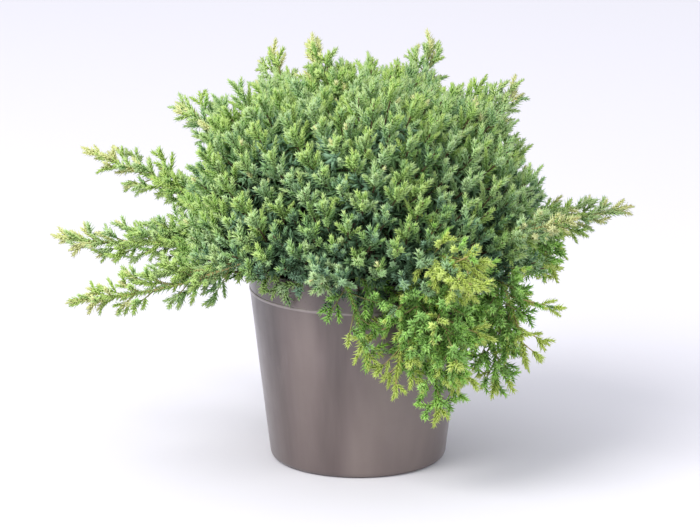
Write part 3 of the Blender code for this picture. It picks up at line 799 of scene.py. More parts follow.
def lathe_up(name, first, profile, sides):
    """A turned body, drawn up from a round plate at first, a (radius, height). The plate is
    extruded and resized to each (radius, height) of the profile, and closes the last."""
    deselect_all()
    radius, height = first
    bpy.ops.mesh.primitive_circle_add(
        vertices=sides, radius=radius, fill_type="NGON", location=(0.0, 0.0, height)
    )
    made = settled(name)
    bpy.ops.object.mode_set(mode="EDIT")
    bpy.ops.mesh.select_mode(type="FACE")
    bpy.ops.mesh.select_all(action="SELECT")
    bpy.ops.mesh.flip_normals()
    for next_radius, next_height in profile:
        rise = (0.0, 0.0, next_height - height)
        bpy.ops.mesh.extrude_region_move(TRANSFORM_OT_translate={"value": rise})
        scale = next_radius / radius
        bpy.ops.transform.resize(value=(scale, scale, 1.0), center_override=(0.0, 0.0, next_height))
        radius, height = next_radius, next_height
    bpy.ops.mesh.select_all(action="SELECT")
    bpy.ops.mesh.normals_make_consistent(inside=False)
    bpy.ops.object.mode_set(mode="OBJECT")
    return made


def rounded(corner, radius_in, radius_out, steps=3):
    """Points of a round at a corner (radius, height), which starts radius_in from it and ends
    radius_out from it."""
    points = []
    for step in range(steps + 1):
        t = step / steps
        a = Vector(corner) + Vector(radius_in) * (1 - t) ** 2
        points.append(tuple(a + Vector(radius_out) * t**2))
    return points


def make_pot(plastic):
    foot, rim, lip, soft = FOOT_RADIUS, RIM_RADIUS, LIP_RADIUS, EDGE_ROUND
    inner_foot, inner_rim = foot - WALL, rim - WALL
    band_foot = POT_HEIGHT - BAND
    wall_height = band_foot - BEAD_FOOT - FOOT_ROUND
    rise = (rim - foot) / wall_height
    profile = [(foot - FOOT_ROUND, 0.0)]
    inward = (-FOOT_ROUND + FOOT_INSET, -FOOT_DIP)
    profile += rounded((foot - soft, soft), inward, (soft, FOOT_ROUND), 6)[1:]
    for step in range(1, WALL_RINGS + 1):
        z = FOOT_ROUND + wall_height * step / WALL_RINGS
        profile.append((foot + rise * (z - FOOT_ROUND), z))
    for step in range(1, BEAD_RINGS):
        turn = math.pi * (step / BEAD_RINGS - 0.5)
        half = BEAD if turn > 0.0 else BEAD_FOOT
        profile.append((rim + BEAD_PROUD * math.cos(turn), band_foot + half * math.sin(turn)))
    profile += [(rim, band_foot + BEAD), (rim, band_foot + (BAND - LIP) * 0.5)]
    profile += rounded((rim, POT_HEIGHT - LIP - soft), (0.0, -soft), (soft * 0.4, 0.0))
    profile += rounded((lip, POT_HEIGHT - LIP), (-soft * 0.4, 0.0), (0.0, soft))
    profile += rounded((lip, POT_HEIGHT), (0.0, -soft), (-soft, 0.0), 4)
    profile += rounded((inner_rim, POT_HEIGHT), (soft * 0.7, 0.0), (0.0, -soft))
    profile += [(inner_rim, band_foot), ((inner_rim + inner_foot) / 2, (band_foot + FLOOR) / 2)]
    profile += rounded((inner_foot, FLOOR), (0.0, FOOT_ROUND), (-FOOT_ROUND, 0.0), 4)
    profile += [(FLOOR_PLATE, FLOOR)]
    pot = lathe_up("pot_shell", (FLOOR_PLATE, 0.0), profile, POT_SIDES)
    drill_holes(pot)
    smooth(pot, POT_SMOOTH_DEG)
    return dress(pot, plastic, ["pot"])


def drill_holes(pot):
    cutters = []
    for number in range(DRAIN_HOLES):
        deselect_all()
        place = polar(DRAIN_RING, math.tau * (number + 0.5) / DRAIN_HOLES, FLOOR / 2)
        bpy.ops.mesh.primitive_cylinder_add(
            vertices=DRAIN_SIDES, radius=DRAIN_RADIUS, depth=FLOOR * 4, location=place
        )
        cutters.append(bpy.context.object)
    pick(cutters[0])
    for cutter in cutters:
        cutter.select_set(True)
    bpy.ops.object.join()
    drill = pot.modifiers.new("drain holes", "BOOLEAN")
    drill.operation = "DIFFERENCE"
    drill.object = cutters[0]
    drill.solver = "EXACT"
    apply_all(pot)
    bpy.data.objects.remove(cutters[0], do_unlink=True)


# Soil


def rumple(obj, name, size, strength, group):
    """Pushes a vertex group up and down by a cloudy pattern."""
    texture = bpy.data.textures.new(name, "CLOUDS")
    texture.noise_scale = size
    texture.noise_depth = 3
    push = obj.modifiers.new(name, "DISPLACE")
    push.texture = texture
    push.texture_coords = "LOCAL"
    push.strength = strength
    push.mid_level = 0.5
    push.vertex_group = group
    push.direction = "Z"


def soil_height(radius, edge=RIM_RADIUS - WALL):
    share = max(0.0, (radius - SOIL_LEVEL) / (edge - SOIL_LEVEL)) ** SOIL_FALL
    return SOIL_TOP + (SOIL_EDGE - SOIL_TOP) * share


def make_soil(material):
    wall = RIM_RADIUS - WALL - SOIL_CLEARANCE
    foot = FOOT_RADIUS - WALL - SOIL_CLEARANCE
    floor = SOIL_LOW.z
    profile = []
    for ring in range(1, SOIL_RINGS + 1):
        radius = SOIL_PLATE + (wall - SOIL_PLATE) * (ring / SOIL_RINGS)
        profile.append((radius, soil_height(radius, wall) - SOIL_SUNK))
    profile += [(wall, POT_HEIGHT - BAND), (foot, floor + FOOT_ROUND), (foot - FOOT_ROUND, floor)]
    soil = lathe_up("soil_heap", (SOIL_PLATE, SOIL_TOP - SOIL_SUNK), profile, SOIL_SIDES)
    top = soil.vertex_groups.new(name="top")
    inside = [
        vertex.index
        for vertex in soil.data.vertices
        if vertex.co.z > SOIL_LOOSE_FROM and vertex.co.xy.length < wall - SOIL_LOOSE_MARGIN
    ]
    top.add(inside, 1.0, "REPLACE")
    for name, size, strength in (("soil heaps", 0.012, 0.0030), ("soil crumbs", 0.0035, 0.0016)):
        rumple(soil, name, size, strength, "top")
    apply_all(soil)
    smooth(soil, SMOOTH_DEG)
    return dress(soil, material, ["soil"])


def make_crumbs(material, rng):
    """Small lumps of peat on the soil, as one mesh."""
    bm = bmesh.new()
    bmesh.ops.create_icosphere(bm, subdivisions=1, radius=1.0)
    shape = np.array([vertex.co[:] for vertex in bm.verts])
    triangles = np.array([[vertex.index for vertex in face.verts] for face in bm.faces])
    bm.free()
    parts = []
    for _ in range(CRUMBS):
        radius = (RIM_RADIUS - WALL - CRUMBS_CLEARANCE) * math.sqrt(rng.uniform(CRUMBS_FROM, 1.0))
        azimuth = rng.uniform(0.0, math.tau)
        size = CRUMB_LEAST + CRUMB_GROWTH * rng.random() ** CRUMB_CURVE
        rough = 1.0 + rng.uniform(-CRUMB_ROUGH, CRUMB_ROUGH, shape.shape)
        lump = shape * rough * size * rng.uniform(*CRUMB_STRETCH, 3)
        place = polar(radius, azimuth, soil_height(radius) + size * CRUMB_LIFT)
        parts.append((lump + np.array(place), triangles))
    made = mesh_from_arrays("soil_crumbs", *joined(parts))
    smooth(made, SMOOTH_DEG)
    return dress(made, material, ["soil"])


# Limbs


def sweep(points, radii, sides, relief=None):
    """A closed tube along points, as arrays: rings that don't twist, and a point at each end.
    Relief gives a ring's corner its share of the radius, from its azimuth and its length along."""
    points = np.array([tuple(point) for point in points])
    radii = np.asarray(radii, float)
    ahead = np.empty_like(points)
    ahead[1:-1] = points[2:] - points[:-2]
    ahead[0], ahead[-1] = points[1] - points[0], points[-1] - points[-2]
    ahead /= np.linalg.norm(ahead, axis=1)[:, None]
    side = np.cross(ahead[0], (0.0, 0.0, 1.0) if abs(ahead[0][2]) < UPRIGHT else (1.0, 0.0, 0.0))
    azimuths = np.arange(sides) * math.tau / sides
    travelled = np.concatenate([[0.0], np.cumsum(np.linalg.norm(np.diff(points, axis=0), axis=1))])
    rings = []
    for place, way, radius, length in zip(points, ahead, radii, travelled):
        side = side - way * side.dot(way)
        side /= np.linalg.norm(side)
        other = np.cross(way, side)
        reach = np.full(sides, radius)
        if relief is not None:
            reach = radius * np.array([relief(azimuth, length) for azimuth in azimuths])
        spokes = np.cos(azimuths)[:, None] * side + np.sin(azimuths)[:, None] * other
        rings.append(place + spokes * reach[:, None])
    count = len(points)
    corners = np.concatenate([*rings, points[:1], points[-1:]])
    faces = []
    for ring in range(count - 1):
        for step in range(sides):
            a = ring * sides + step
            b = ring * sides + (step + 1) % sides
            faces += [(a, b, b + sides), (a, b + sides, a + sides)]
    foot, tip = count * sides, count * sides + 1
    last = (count - 1) * sides
    for step in range(sides):
        after = (step + 1) % sides
        faces += [(foot, after, step), (tip, last + step, last + after)]
    return corners, np.array(faces)


def joined(parts):
    """Several (points, triangles) as one."""
    points, faces, start = [], [], 0
    for corners, triangles in parts:
        points.append(corners)
        faces.append(triangles + start)
        start += len(corners)
    return np.concatenate(points), np.concatenate(faces)


def bark_relief(seed, deep, strips):
    """Flaking strips along a limb: ridges that wander as they run."""

    def relief(azimuth, length):
        x, y = math.cos(azimuth), math.sin(azimuth)
        wander = noise.noise(Vector((x, y, length * WANDER_SCALE + seed))) * WANDER
        place = Vector((x * strips, y * strips, length * RIDGE_SCALE + seed + wander))
        ridge = 1.0 - abs(noise.noise(place)) * 2.0
        knots = noise.noise(Vector((x, y, length * KNOT_SCALE - seed)))
        return 1.0 + deep * (ridge - RIDGE_LEVEL) + deep * KNOTS * knots

    return relief


class Mass:
    """One mass of foliage: its axis from the focus, and where its bough leaves and meets it."""

    def __init__(self, name, axis, bough_height=None):
        self.name = name
        self.axis = axis
        self.middle = FOCUS + axis * MIDDLE_DEPTH
        self.shoulder = self.middle + axis * SHOULDER_DEPTH
        self.entry = self.middle - axis * (CORE_INNER + BOUGH_SHORT_OF_CORE)
        self.bough_height = bough_height


def plan_masses():
    """The rings of masses, and last the one on top, which the trunk's own tip carries."""
    masses = []
    for names, start_deg, rise_deg, heights in MASS_RINGS:
        for number, name in enumerate(names):
            axis = from_angles(start_deg + 360.0 * number / len(names), rise_deg)
            masses.append(Mass(name, axis, heights[number % 2]))
    return [*masses, Mass("top", up(1.0))]


def trunk_line(top):
    middle = (TRUNK_FOOT + top) / 2 + Vector((TRUNK_LEAN, 0.0, 0.0))
    return bend(TRUNK_FOOT, middle, top, TRUNK_POINTS)


def make_trunk(points, material):
    radii = tapered(TRUNK_FOOT_RADIUS, TRUNK_TIP_RADIUS, len(points))
    corners, faces = sweep(points, radii, TRUNK_SIDES, bark_relief(seed=3.0, deep=0.16, strips=2.6))
    above = np.clip(1.0 - (corners[:, 2] - TRUNK_FOOT.z) / FLARE_HEIGHT, 0.0, 1.0) ** 2
    azimuth = np.arctan2(corners[:, 1], corners[:, 0])
    spread = 1.0 + FLARE_SPREAD * above * (1.0 + FLARE_LOBES * np.cos(FLARE_ROOTS * azimuth))
    corners[:, :2] *= spread[:, None]
    trunk = mesh_from_arrays("trunk_bark", corners, faces)
    smooth(trunk, SMOOTH_DEG)
    return dress(trunk, material, ["trunk"])


def bough_line(mass, trunk_points):
    """The bough's line, from the trunk's middle to the mass's core."""
    wanted = TRUNK_FOOT.z + mass.bough_height
    start = min(trunk_points, key=lambda point: abs(point.z - wanted))
    return bend(start, mass.entry - mass.axis * BOUGH_BEND, mass.entry, BOUGH_POINTS)


def make_boughs(lines, material):
    parts = []
    for number, line in enumerate(lines.values()):
        radii = tapered(BOUGH_FOOT_RADIUS * BOUGH_BARK, BOUGH_TIP_RADIUS, len(line))
        for ring, share in enumerate(BOUGH_COLLAR):
            radii[ring] *= share
        bark = bark_relief(seed=11.0 + 7.0 * number, deep=0.20, strips=1.8)
        parts.append(sweep(line, radii, BOUGH_SIDES, bark))
    boughs = mesh_from_arrays("bough_bark", *joined(parts))
    smooth(boughs, SMOOTH_DEG)
    return dress(boughs, material, [f"bough_{name}" for name in lines])


# Foliage: needles, sprigs and shoots


def crown_reach(way):
    """The crown's outer face along a unit vector from the focus, before any mass swells it."""
    rise = math.asin(max(-1.0, min(1.0, way.z)))
    shoulder = CROWN_SHOULDER * math.sin(2.0 * max(0.0, rise)) ** 2
    return CROWN_REACH + CROWN_TOP * max(0.0, way.z) + shoulder


def outer_face(mass, way):
    """The mass's own outer face along a unit vector: it swells over the mass's middle."""
    return crown_reach(way) * (OUTER_FACE - SWELL * way.angle(mass.axis) ** 2)


# A needle along +Z, 1 long: a kite whose keel runs along its lower side
NEEDLE_POINTS = np.array(
    [
        (0.0, 0.0, 0.0),
        (-0.5 * NEEDLE_WIDTH, NEEDLE_KEEL, NEEDLE_WIDEST),
        (0.5 * NEEDLE_WIDTH, NEEDLE_KEEL, NEEDLE_WIDEST),
        (0.0, 0.2 * NEEDLE_KEEL, 1.0),
    ]
)
NEEDLE_FACES = np.array([(0, 1, 2), (1, 3, 2), (0, 3, 1), (0, 2, 3)])
NEEDLE_UPPER = np.array([1, 1, 0, 0])


class Sprig:
    """A sprig along +Z: each needle's turn, place, length and age, 0 at the foot and 1 at the tip."""

    def __init__(self, length, kind, rng):
        whorls = max(3, int(round(length / kind["whorl"])))
        needles = []
        sway = rng.uniform(-SPRIG_SWAY, SPRIG_SWAY, 2) * length
        for whorl in range(whorls):
            age = (whorl + FIRST_WHORL) / whorls
            middle = (sway[0] * age**2, sway[1] * age**2, age * length)
            spread = kind["spread"] * (1.0 - LEAN_IN * age**LEAN_CURVE)
            grown = math.sin(math.pi * (GROWN_FROM + GROWN_OVER * age)) ** GROWN_CURVE
            turned = (whorl % 2) * math.pi / 3
            for third in range(3):
                azimuth = math.tau * third / 3 + turned + rng.normal(0.0, TURN_SCATTER)
                tilt = math.radians(spread + rng.normal(0.0, TILT_SCATTER_DEG))
                size = kind["needle"] * (grown * rng.uniform(*NEEDLE_UNEVEN))
                needles.append((needle_turn(azimuth, tilt), middle, size, age))
        for third in range(3):
            azimuth = math.tau * third / 3 + rng.uniform(0.0, 1.0)
            tilt = math.radians(rng.uniform(*BUD_TILTS_DEG))
            size = kind["needle"] * rng.uniform(*BUD_NEEDLES)
            bud = (sway[0], sway[1], length * BUD_PLACE)
            needles.append((needle_turn(azimuth, tilt), bud, size, 1.0))
        self.turns, self.places, self.sizes, self.ages = map(np.array, zip(*needles))
        self.stem = np.array([(0.0, 0.0, 0.0), (sway[0], sway[1], length)])

    def grown(self, roll, along, root, scale):
        """The sprig in place, as needle points, needle ages and stem points."""
        spin = np.array(along.to_track_quat("Z", "Y").to_matrix() @ Matrix.Rotation(roll, 3, "Z"))
        shapes = NEEDLE_POINTS[None] * (self.sizes * scale)[:, None, None]
        turned = np.einsum("nij,nkj->nki", self.turns, shapes) + self.places[:, None] * scale
        root = np.array(root)
        return turned @ spin.T + root, self.ages, self.stem * scale @ spin.T + root


def needle_turn(azimuth, tilt):
    """A needle's turn, out of the stem by tilt, with its upper side towards the sprig's tip."""
    around = Matrix.Rotation(azimuth - math.pi / 2, 3, "Z")
    return np.array(around @ Matrix.Rotation(-tilt, 3, "X") @ Matrix.Rotation(math.pi, 3, "Z"))


class Foliage:
    """Gathers needles by tint and stems by kind, and makes them into pieces."""

    def __init__(self, rng):
        self.rng = rng
        self.needles = {}
        self.stems = {}
        self.sprigs = {}
        for name, kind in SPRIG_KINDS.items():
            self.sprigs[name] = {
                length: [Sprig(length, kind, rng) for _ in range(SPRIG_VARIANTS)]
                for length in SPRIG_LENGTHS
            }

    def add_sprig(self, root, along, length, kind, tints, stem="green_stems"):
        """One sprig in two tints: the first for its older needles, the second for its tip."""
        tints = self.with_hue(tints, root)
        nearest = min(SPRIG_LENGTHS, key=lambda size: abs(size - length))
        shape = self.sprigs[kind][nearest][self.rng.integers(SPRIG_VARIANTS)]
        least, most = SPRIG_STRETCH
        scale = min(most, max(least, length / nearest))
        needles, ages, line = shape.grown(self.rng.uniform(0.0, math.tau), along, root, scale)
        tip = ages > self.rng.uniform(*SPRIG_TIP_FROM)
        for tint, chosen in ((tints[0], ~tip), (tints[1], tip)):
            self.needles.setdefault(tint, []).append(needles[chosen])
        self.add_stem(line, (STEM_RADIUS, STEM_RADIUS * 0.5), stem, STEM_SIDES)

    def with_hue(self, tints, place):
        """The same tints, warmer or cooler in patches, and cooler towards the crown's foot as painted
        shade.
        """
        patch = noise.noise(place * PATCH_SCALE) + self.rng.normal(0.0, HUE_SCATTER)
        # Painted shade: cooler towards the crown's foot, except on the sunny left
        if place.x > -SUNNY_REACH:
            height = min(1.0, max(0.0, (place.z - POT_HEIGHT) / COOL_FOOT_HEIGHT))
            patch -= COOL_FOOT * (1.0 - height) ** 2
        hue = "_warm" if patch > WARM_FROM else "_cool" if patch < COOL_BELOW else ""
        return tuple(tint + hue if tint in HUED else tint for tint in tints)

    def add_stem(self, line, radii, kind, sides):
        self.stems.setdefault(kind, []).append(sweep(line, radii, sides))

    def pieces(self, materials, masses):
        """Every gathered kind as joined meshes, each under the limit of triangles."""
        nodes = [f"foliage_{mass.name}" for mass in masses]
        most = MOST_TRIANGLES // len(NEEDLE_FACES)
        for tint, groups in sorted(self.needles.items()):
            needles = np.concatenate(groups)
            for part in range(math.ceil(len(needles) / most)):
                chosen = needles[part * most : (part + 1) * most]
                starts = np.arange(len(chosen)) * len(NEEDLE_POINTS)
                faces = (NEEDLE_FACES[None] + starts[:, None, None]).reshape(-1, 3)
                slots = np.tile(NEEDLE_UPPER, len(chosen))
                name = f"needles_{tint}_{part + 1}"
                made = mesh_from_arrays(name, chosen.reshape(-1, 3), faces, slots)
                made.data.materials.append(materials[tint])
                made.data.materials.append(materials[f"{tint}_upper"])
                dress(made, None, nodes)
        for kind, parts in sorted(self.stems.items()):
            made = mesh_from_arrays(kind, *joined(parts))
            dress(made, materials[kind], nodes)


def lifted(way, lift):
    return (way + up(lift)).normalized()


def side_way(along, number, angle, rng):
    """A direction that leaves along by angle, turned about it by the golden angle for each number."""
    side = along.orthogonal().normalized()
    turn = number * GOLDEN_ANGLE + rng.uniform(-ROUND_SCATTER, ROUND_SCATTER)
    side.rotate(Matrix.Rotation(turn, 3, along))
    return (along * math.cos(angle) + side * math.sin(angle)).normalized()


def at_length(points, wanted):
    """The point at a length back from the line's tip, and the line's direction there."""
    left = wanted
    for second, first in zip(points[::-1], points[-2::-1]):
        step = (second - first).length
        if left <= step:
            return second.lerp(first, left / step), (second - first).normalized()
        left -= step
    return points[0].copy(), (points[1] - points[0]).normalized()


def line_length(points):
    return sum((second - first).length for first, second in zip(points, points[1:]))


def walk_back(line, start, end, step):
    """Places back along a line between two lengths from its tip: each one's number, its length
    back, the place and the line's direction there. Step gives how far it is to the next."""
    number, back = 0, start
    while back < end:
        yield number, back, *at_length(line, back)
        number += 1
        back += step(back)


def grow_shoot(foliage, points, bearing, habit, tint_at, turn=0.0):
    """Side shoots and a tip on a line. From the tip back over the length bearing, each side
    shoot is longer than the one before it, and one over the habit's splits bears its own."""
    rng = foliage.rng
    tip, _ = at_length(points, 0.0)
    terminal = habit.terminal * rng.uniform(*STEP_UNEVEN)
    start, way = at_length(points, terminal)
    foliage.add_sprig(start, way, terminal, habit.kind, tint_at(tip, True))
    bearing = min(bearing, line_length(points) - SHOOT_FOOT_BARE)

    def step(back):
        return habit.step * rng.uniform(*STEP_UNEVEN) * (1.0 + STEP_WIDENING * (back / bearing) ** 2)

    for number, back, place, along in walk_back(points, terminal * habit.first, bearing, step):
        share = back / bearing
        standing = habit.angle * (ANGLE_AT_TIP + ANGLE_BEHIND * share)
        angle = math.radians(standing + rng.uniform(-ANGLE_SCATTER_DEG, ANGLE_SCATTER_DEG))
        way = lifted(side_way(along, number + turn, angle, rng), habit.lift)
        grown = min(1.0, back / habit.grown_by) ** habit.curve
        length = habit.shortest + (habit.longest - habit.shortest) * grown
        length *= rng.uniform(*LENGTH_UNEVEN)
        end = place + way * length
        shows = not hides_wall(end)
        if shows and length > habit.splits:
            through = place.lerp(end, 0.5) - up(habit.bow * length)
            side = bend(place, through, end, SIDE_POINTS)
            radii = tapered(STEM_RADIUS * SIDE_STEM, STEM_RADIUS, SIDE_POINTS)
            foliage.add_stem(side, radii, habit.stem, STEM_SIDES)
            grow_shoot(foliage, side, length * SIDE_BEARING, HABITS[habit.side], tint_at, number)
        elif shows:
            foliage.add_sprig(place, way, length, habit.kind, tint_at(end, False))


def tints_of(place, leading, rng, golden=GOLDEN_SHARE, paler=0.0):
    """The tints of a sprig's older needles and of its tip: paler higher up and to the left as painted
    light, paler outside and darker in steps inside as painted shade, and paler in patches.
    """
    outward = place - FOCUS
    depth = outward.length / crown_reach(outward.normalized())
    height = (place.z - POT_HEIGHT) / LIT_HEIGHT
    mound = noise.noise(place * MOUND_SCALE) * max(0.0, 1.0 - (2.0 * height - 1.0) ** 2)
    # Painted light: the level rises with the height and, low down, on the sunny left. Painted shade: it
    # falls in steps towards the inside
    level = LEVEL_FOOT + paler + LEVEL_RISE * height - LEVEL_EASE * height**2 + MOUND_DEPTH * mound
    level += LEVEL_PATCHES * noise.noise(place * LEVEL_PATCH_SCALE) + rng.normal(0.0, LEVEL_SCATTER)
    level += SUNNY_SIDE * max(0.0, -outward.normalized().x - SUNNY_FROM) * (1.0 - height) ** 2
    level += LEADING_PALER if leading else 0.0
    for shaded in SHADED_DEPTHS:
        level -= 1.0 if depth < shaded else 0.0
    tip = min(len(PALER) - 1, max(2 if depth > OUTERMOST else 1, round(level)))
    older = MOUND_TINTS[tip] if mound > MOUND_LIT else PALER[tip - 1]
    return older, "golden" if tip == len(PALER) - 1 and rng.random() < golden else PALER[tip]


def clear_of_pot(point):
    """True unless the point is in the pot's wall or in the soil."""
    radius = point.xy.length
    if point.z > POT_HEIGHT + CLEAR_OVER_RIM:
        return True
    if radius < RIM_RADIUS - CLEAR_INSIDE_RIM:
        return point.z > SOIL_TOP + CLEAR_OVER_SOIL
    return radius > LIP_RADIUS + CLEAR_OUTSIDE_RIM


def between(point, bearings):
    """True where the point's bearing from the trunk, in degrees, lies between the two."""
    least, most = bearings
    return least < math.degrees(math.atan2(point.y, point.x)) < most


def hides_rim(point):
    return point.z < POT_HEIGHT + RIM_CLEARANCE and between(point, RIM_SHOWS_DEG)


def hides_wall(point):
    return point.z < BARE_WALL_TOP and between(point, BARE_WALL_DEG)


def spread_ways():
    """Directions from the focus by the golden angle, on all sides and closer together at the top."""
    lowest = math.sin(math.radians(PLUME_LOWEST_DEG))
    for number in range(PLUME_COUNT):
        height = 1.0 - (1.0 - lowest) * ((number + 0.5) / PLUME_COUNT) ** PLUME_CROWDING
        flat = math.sqrt(1.0 - height * height)
        yield number, Vector(polar(flat, number * GOLDEN_ANGLE, height))


def grow_plume(foliage, line, bearing, habit, turn, **shades):
    """A plume on a line: its twig, and its shoots in the crown's tints."""
    radii = tapered(PLUME_RADIUS, STEM_RADIUS, PLUME_POINTS)
    foliage.add_stem(line, radii, "old_twigs", PLUME_SIDES)

    def tint_at(place, leading):
        return tints_of(place, leading, foliage.rng, **shades)

    grow_shoot(foliage, line, bearing, HABITS[habit], tint_at, turn)


def grow_plumes(foliage, masses):
    """Plumes over the whole crown, each from its mass's stem to the outer face."""
    for number, way in spread_ways():
        mass = max(masses, key=lambda mass: mass.axis.dot(way))
        clump = 1.0 + CLUMP_DEPTH * noise.noise(way * CLUMP_SCALE)
        uneven = PLUME_REACH + PLUME_UNEVEN * ((number * 3) % CYCLE) / (CYCLE - 1)
        tip = FOCUS + way * (outer_face(mass, way) * clump * uneven)
        if hides_rim(tip):
            continue
        lifting = min(1.0, max(0.0, LIFT_FROM + LIFT_RISE * way.z))
        heading = lifted(way, PLUME_LIFT * (1.0 - way.z) * lifting)
        start = mass.middle - mass.axis * foliage.rng.uniform(0.0, PLUME_START)
        through = tip - heading * (PLUME_BEND * (tip - start).length)
        line = bend(start, through, tip, PLUME_POINTS)
        slim = way.z > FINGERS_FROM + FINGERS_PATCHES * noise.noise(way * CLUMP_SCALE * 2.0)
        grow_plume(foliage, line, PLUME_BEARING, "finger" if slim else "plume", number)
        grow_old_needles(foliage, line, PLUME_BEARING, number)


def grow_old_needles(foliage, line, bearing, turn):
    """Dark, wide sprigs on the inner part of a plume, which close the crown."""
    rng = foliage.rng
    foot = line_length(line) - OLD_FOOT
    for number, _, place, along in walk_back(line, bearing, foot, lambda _: rng.uniform(*OLD_STEPS)):
        way = side_way(along, number + turn, math.radians(rng.uniform(*OLD_ANGLES_DEG)), rng)
        length = rng.uniform(*OLD_LENGTHS)
        if place.z + way.z * length < POT_HEIGHT + OLD_NEEDLES_OVER_RIM:
            way.z = abs(way.z)
        # Old needles take the darkest tint below that height, as painted shade
        tint = "deep" if place.z > FOCUS.z + OLD_NEEDLES_DARK else "inner"
        foliage.add_sprig(place, way, length, "old", (tint, tint), "old_twigs")


def grow_heart(foliage, masses, bough_lines):
    """Old needles on the outer half of each bough and on its mass's stem, which close the middle."""
    for number, mass in enumerate(masses):
        bough = bough_lines.get(mass.name, [mass.entry])
        line = bough[len(bough) // 2 :] + [mass.middle, mass.shoulder]
        grow_old_needles(foliage, line, HEART_FROM, number)


def leader_kind(tip, sag):
    if tip.z < DROOPER_TOP:
        return "drooper"
    if tip.z > CREST_FOOT:
        return "crest"
    return "arching" if sag < ARCHING_SAG else "whip"


def grow_leaders(foliage, masses):
    """The leaders, each with its shorter shoots beside it."""
    for mass in masses:
        for x, y, z, sag in LEADERS.get(mass.name, ()):
            tip = Vector((x, y, z))
            name = leader_kind(tip, sag)
            short = name == "whip" and (tip - FOCUS).length < GOLDEN_REACH
            grow_leader(foliage, mass, tip, sag, name, (BESIDE_TINTS if short else LEADER_TINTS)[name])
            grow_beside(foliage, mass, tip, sag, name)


def grow_beside(foliage, mass, tip, sag, name):
    """Shorter shoots about a leader, which leave the same shoulder."""
    rng = foliage.rng
    count, least, most, spread = COMPANIONS[name]
    for number in range(count):
        share = least + (most - least) * ((number * 2) % count) / (count - 1)
        aside = side_way((tip - mass.shoulder).normalized(), number, math.pi / 2, rng)
        aside.z *= BESIDE_FLATTENED
        end = mass.shoulder.lerp(tip, share) + aside * spread * rng.uniform(*BESIDE_UNEVEN)
        if clear_of_pot(end) and not hides_rim(end):
            pale = name == "drooper" and number % PALE_EVERY == PALE_EVERY - 1
            kind = "arching" if pale else name
            tints = (LEADER_TINTS if pale else BESIDE_TINTS)[kind]
            grow_leader(foliage, mass, end, sag * share, kind, tints)


def grow_leader(foliage, mass, tip, sag, name, tints):
    """One leader from the mass's shoulder: its stem, the needles on it and its side shoots, paler away
    from the crown as painted light and palest at the tip."""
    rng = foliage.rng
    lit, palest, share, pale_length = tints
    through = mass.shoulder.lerp(tip, 0.5) - up(sag)
    line = bend(mass.shoulder, through, tip, LEADER_POINTS)

    def tint_at(place, leading):
        outside = max((place - FOCUS).length - CROWN_REACH, HANGING_LIT * (POT_HEIGHT - place.z))
        # Painted shade inside the crown, less of it on the sunny left
        if outside < SHADED_INSIDE:
            shaded = rng.random() < (SUNNY_SHADED_SHARE if place.x < -SUNNY_REACH else SHADED_SHARE)
            return ("deep", "mid") if shaded else ("mid", lit)
        near_tip = 1.0 - (place - line[-1]).length / pale_length
        chance = share + PALE_RISE * near_tip + (PALE_TIP if leading else 0.0)
        # Further out, more needles take the lit tint, as painted light
        older = lit if rng.random() < LIT_SHARE + LIT_RISE * outside else "mid"
        if name == "drooper":
            patch = HANGING_LEVEL + HANGING_PATCHES * noise.noise(place * PATCH_SCALE)
            patch += rng.normal(0.0, HANGING_SCATTER)
            level = min(3, max(1, round(patch + (HANGING_TIP if leading else 0.0))))
            if rng.random() > chance:
                return HANGING[level - 1], HANGING[level]
        if rng.random() > chance:
            return older, lit
        return palest if rng.random() < near_tip + PALE_TIP else older, palest

    radii = tapered(LEADER_FOOT_RADIUS, LEADER_TIP_RADIUS, LEADER_POINTS)
    foliage.add_stem(line, radii, "young_stems", LEADER_SIDES)
    length = line_length(line)
    last = length - CLOTHED_LAP
    for _, _, place, along in walk_back(line, CLOTHED_FROM, last, lambda _: CLOTHED_STEP):
        foot = place - along * CLOTHED_LAP
        foliage.add_sprig(foot, along, CLOTHED_SPRIG, "open", tint_at(place, False))
    turn = rng.uniform(0.0, LEADER_TURNS)
    grow_shoot(foliage, line, length - LEADER_FOOT_BARE, HABITS[name], tint_at, turn)


def hanging_plume(foliage, outward, end, drop, lift, paler, number):
    """A short plume that rises from the soil's side of the rim and hangs over it. Gives its line."""
    heading = (outward - up(drop)).normalized()
    start = end - heading * FRINGE_LENGTH + up(FRINGE_FOOT_RISE) - outward * FRINGE_FOOT_INWARD
    through = end - heading * FRINGE_LENGTH * 0.5 + up(FRINGE_ARCH + lift)
    line = bend(start, through, end, PLUME_POINTS)
    grow_plume(foliage, line, FRINGE_BEARING, "plume", number, golden=0.0, paler=paler)
    return line


def grow_fringe(foliage):
    """Short plumes that hang a little way over the pot's rim, and tufts where it shows."""
    for number in range(FRINGE_COUNT):
        outward = from_angles(360.0 * (number + 0.5) / FRINGE_COUNT, 0.0)
        if between(outward, RIM_SHOWS_DEG):
            continue
        uneven = ((number * 5) % CYCLE) / (CYCLE - 1) - 0.5
        end = outward * FRINGE_TIP_RADIUS + up(FRINGE_TIP_HEIGHT + FRINGE_UNEVEN * uneven)
        drop = FRINGE_DROP + FRINGE_DROP_UNEVEN * uneven
        line = hanging_plume(foliage, outward, end, drop, 0.0, FRINGE_PALER, number)
        grow_old_needles(foliage, line, FRINGE_BEARING, number)
    for number, (bearing_deg, below) in enumerate(RIM_TUFTS):
        outward = from_angles(bearing_deg, 0.0)
        end = outward * RIM_TUFT_RADIUS + up(POT_HEIGHT - below)
        hanging_plume(foliage, outward, end, RIM_TUFT_DROP, RIM_TUFT_LIFT, RIM_TUFT_PALER, number)


# Stage


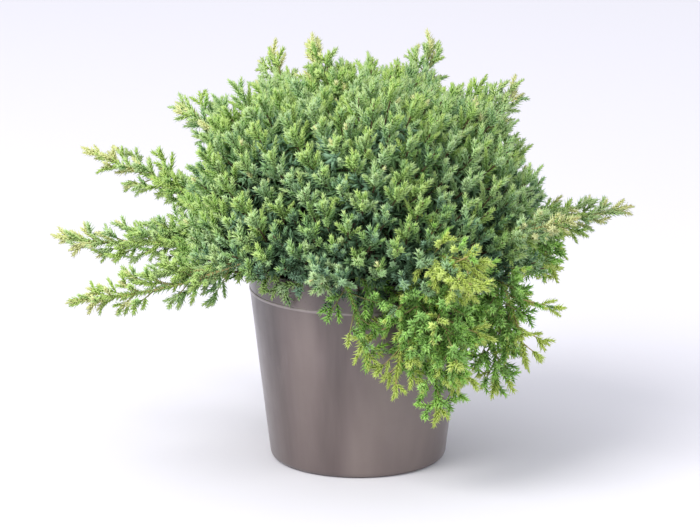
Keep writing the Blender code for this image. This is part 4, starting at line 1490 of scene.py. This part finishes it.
def stand(name, data, place, way):
    """A lamp or a camera at a place, looking along a way."""
    made = bpy.data.objects.new(name, data)
    made.location = place
    made.rotation_euler = way.to_track_quat("-Z", "Y").to_euler()
    bpy.context.scene.collection.objects.link(made)
    return made


def make_stage():
    """A plain pale floor, a soft sky and two soft lamps."""
    deselect_all()
    bpy.ops.mesh.primitive_plane_add(size=PAPER_SIZE, location=PAPER_PLACE)
    floor = settled("studio_floor")
    paper, _, shader = new_material("studio_paper", 0.9, 0.1)
    shader.inputs["Base Color"].default_value = PAPER
    floor.data.materials.append(paper)

    world = bpy.data.worlds.new("studio_sky")
    bpy.context.scene.world = world
    world.use_nodes = True
    sky = world.node_tree.nodes["Background"]
    sky.inputs["Color"].default_value = SKY
    sky.inputs["Strength"].default_value = SKY_STRENGTH

    for name, (place, size, energy, colour) in LAMPS.items():
        lamp = bpy.data.lights.new(name, "AREA")
        lamp.size = size
        lamp.energy = energy
        lamp.color = colour
        stand(name, lamp, place, FOCUS - place)


def make_camera():
    lens = bpy.data.cameras.new("camera")
    lens.lens = CAMERA_LENS
    lens.clip_start, lens.clip_end = 0.05, 60.0
    back = from_angles(-90.0, CAMERA_RISE_DEG)
    bpy.context.scene.camera = stand("camera", lens, CAMERA_AIM + back * CAMERA_DISTANCE, -back)


def main():
    rng = np.random.default_rng(SEED)
    bpy.context.scene.view_settings.view_transform = "Standard"
    make_camera()
    make_stage()

    dust = soil_dust_group()
    bark = old_bark(dust)
    make_pot(taupe_plastic(dust))
    make_soil(peat("loose_peat", *LOOSE_PEAT))
    make_crumbs(peat("crumb_peat", *CRUMB_PEAT), rng)
    masses = plan_masses()
    trunk_points = trunk_line(masses[-1].entry)
    make_trunk(trunk_points, bark)
    lines = {mass.name: bough_line(mass, trunk_points) for mass in masses[:-1]}
    make_boughs(lines, bark)

    foliage = Foliage(rng)
    for mass in masses:
        stem = [mass.entry, mass.middle, mass.shoulder]
        foliage.add_stem(stem, MASS_STEM_RADII, "old_twigs", LEADER_SIDES)
    grow_heart(foliage, masses, lines)
    grow_plumes(foliage, masses)
    grow_leaders(foliage, masses)
    grow_fringe(foliage)
    foliage.pieces(foliage_materials(), masses)


main()
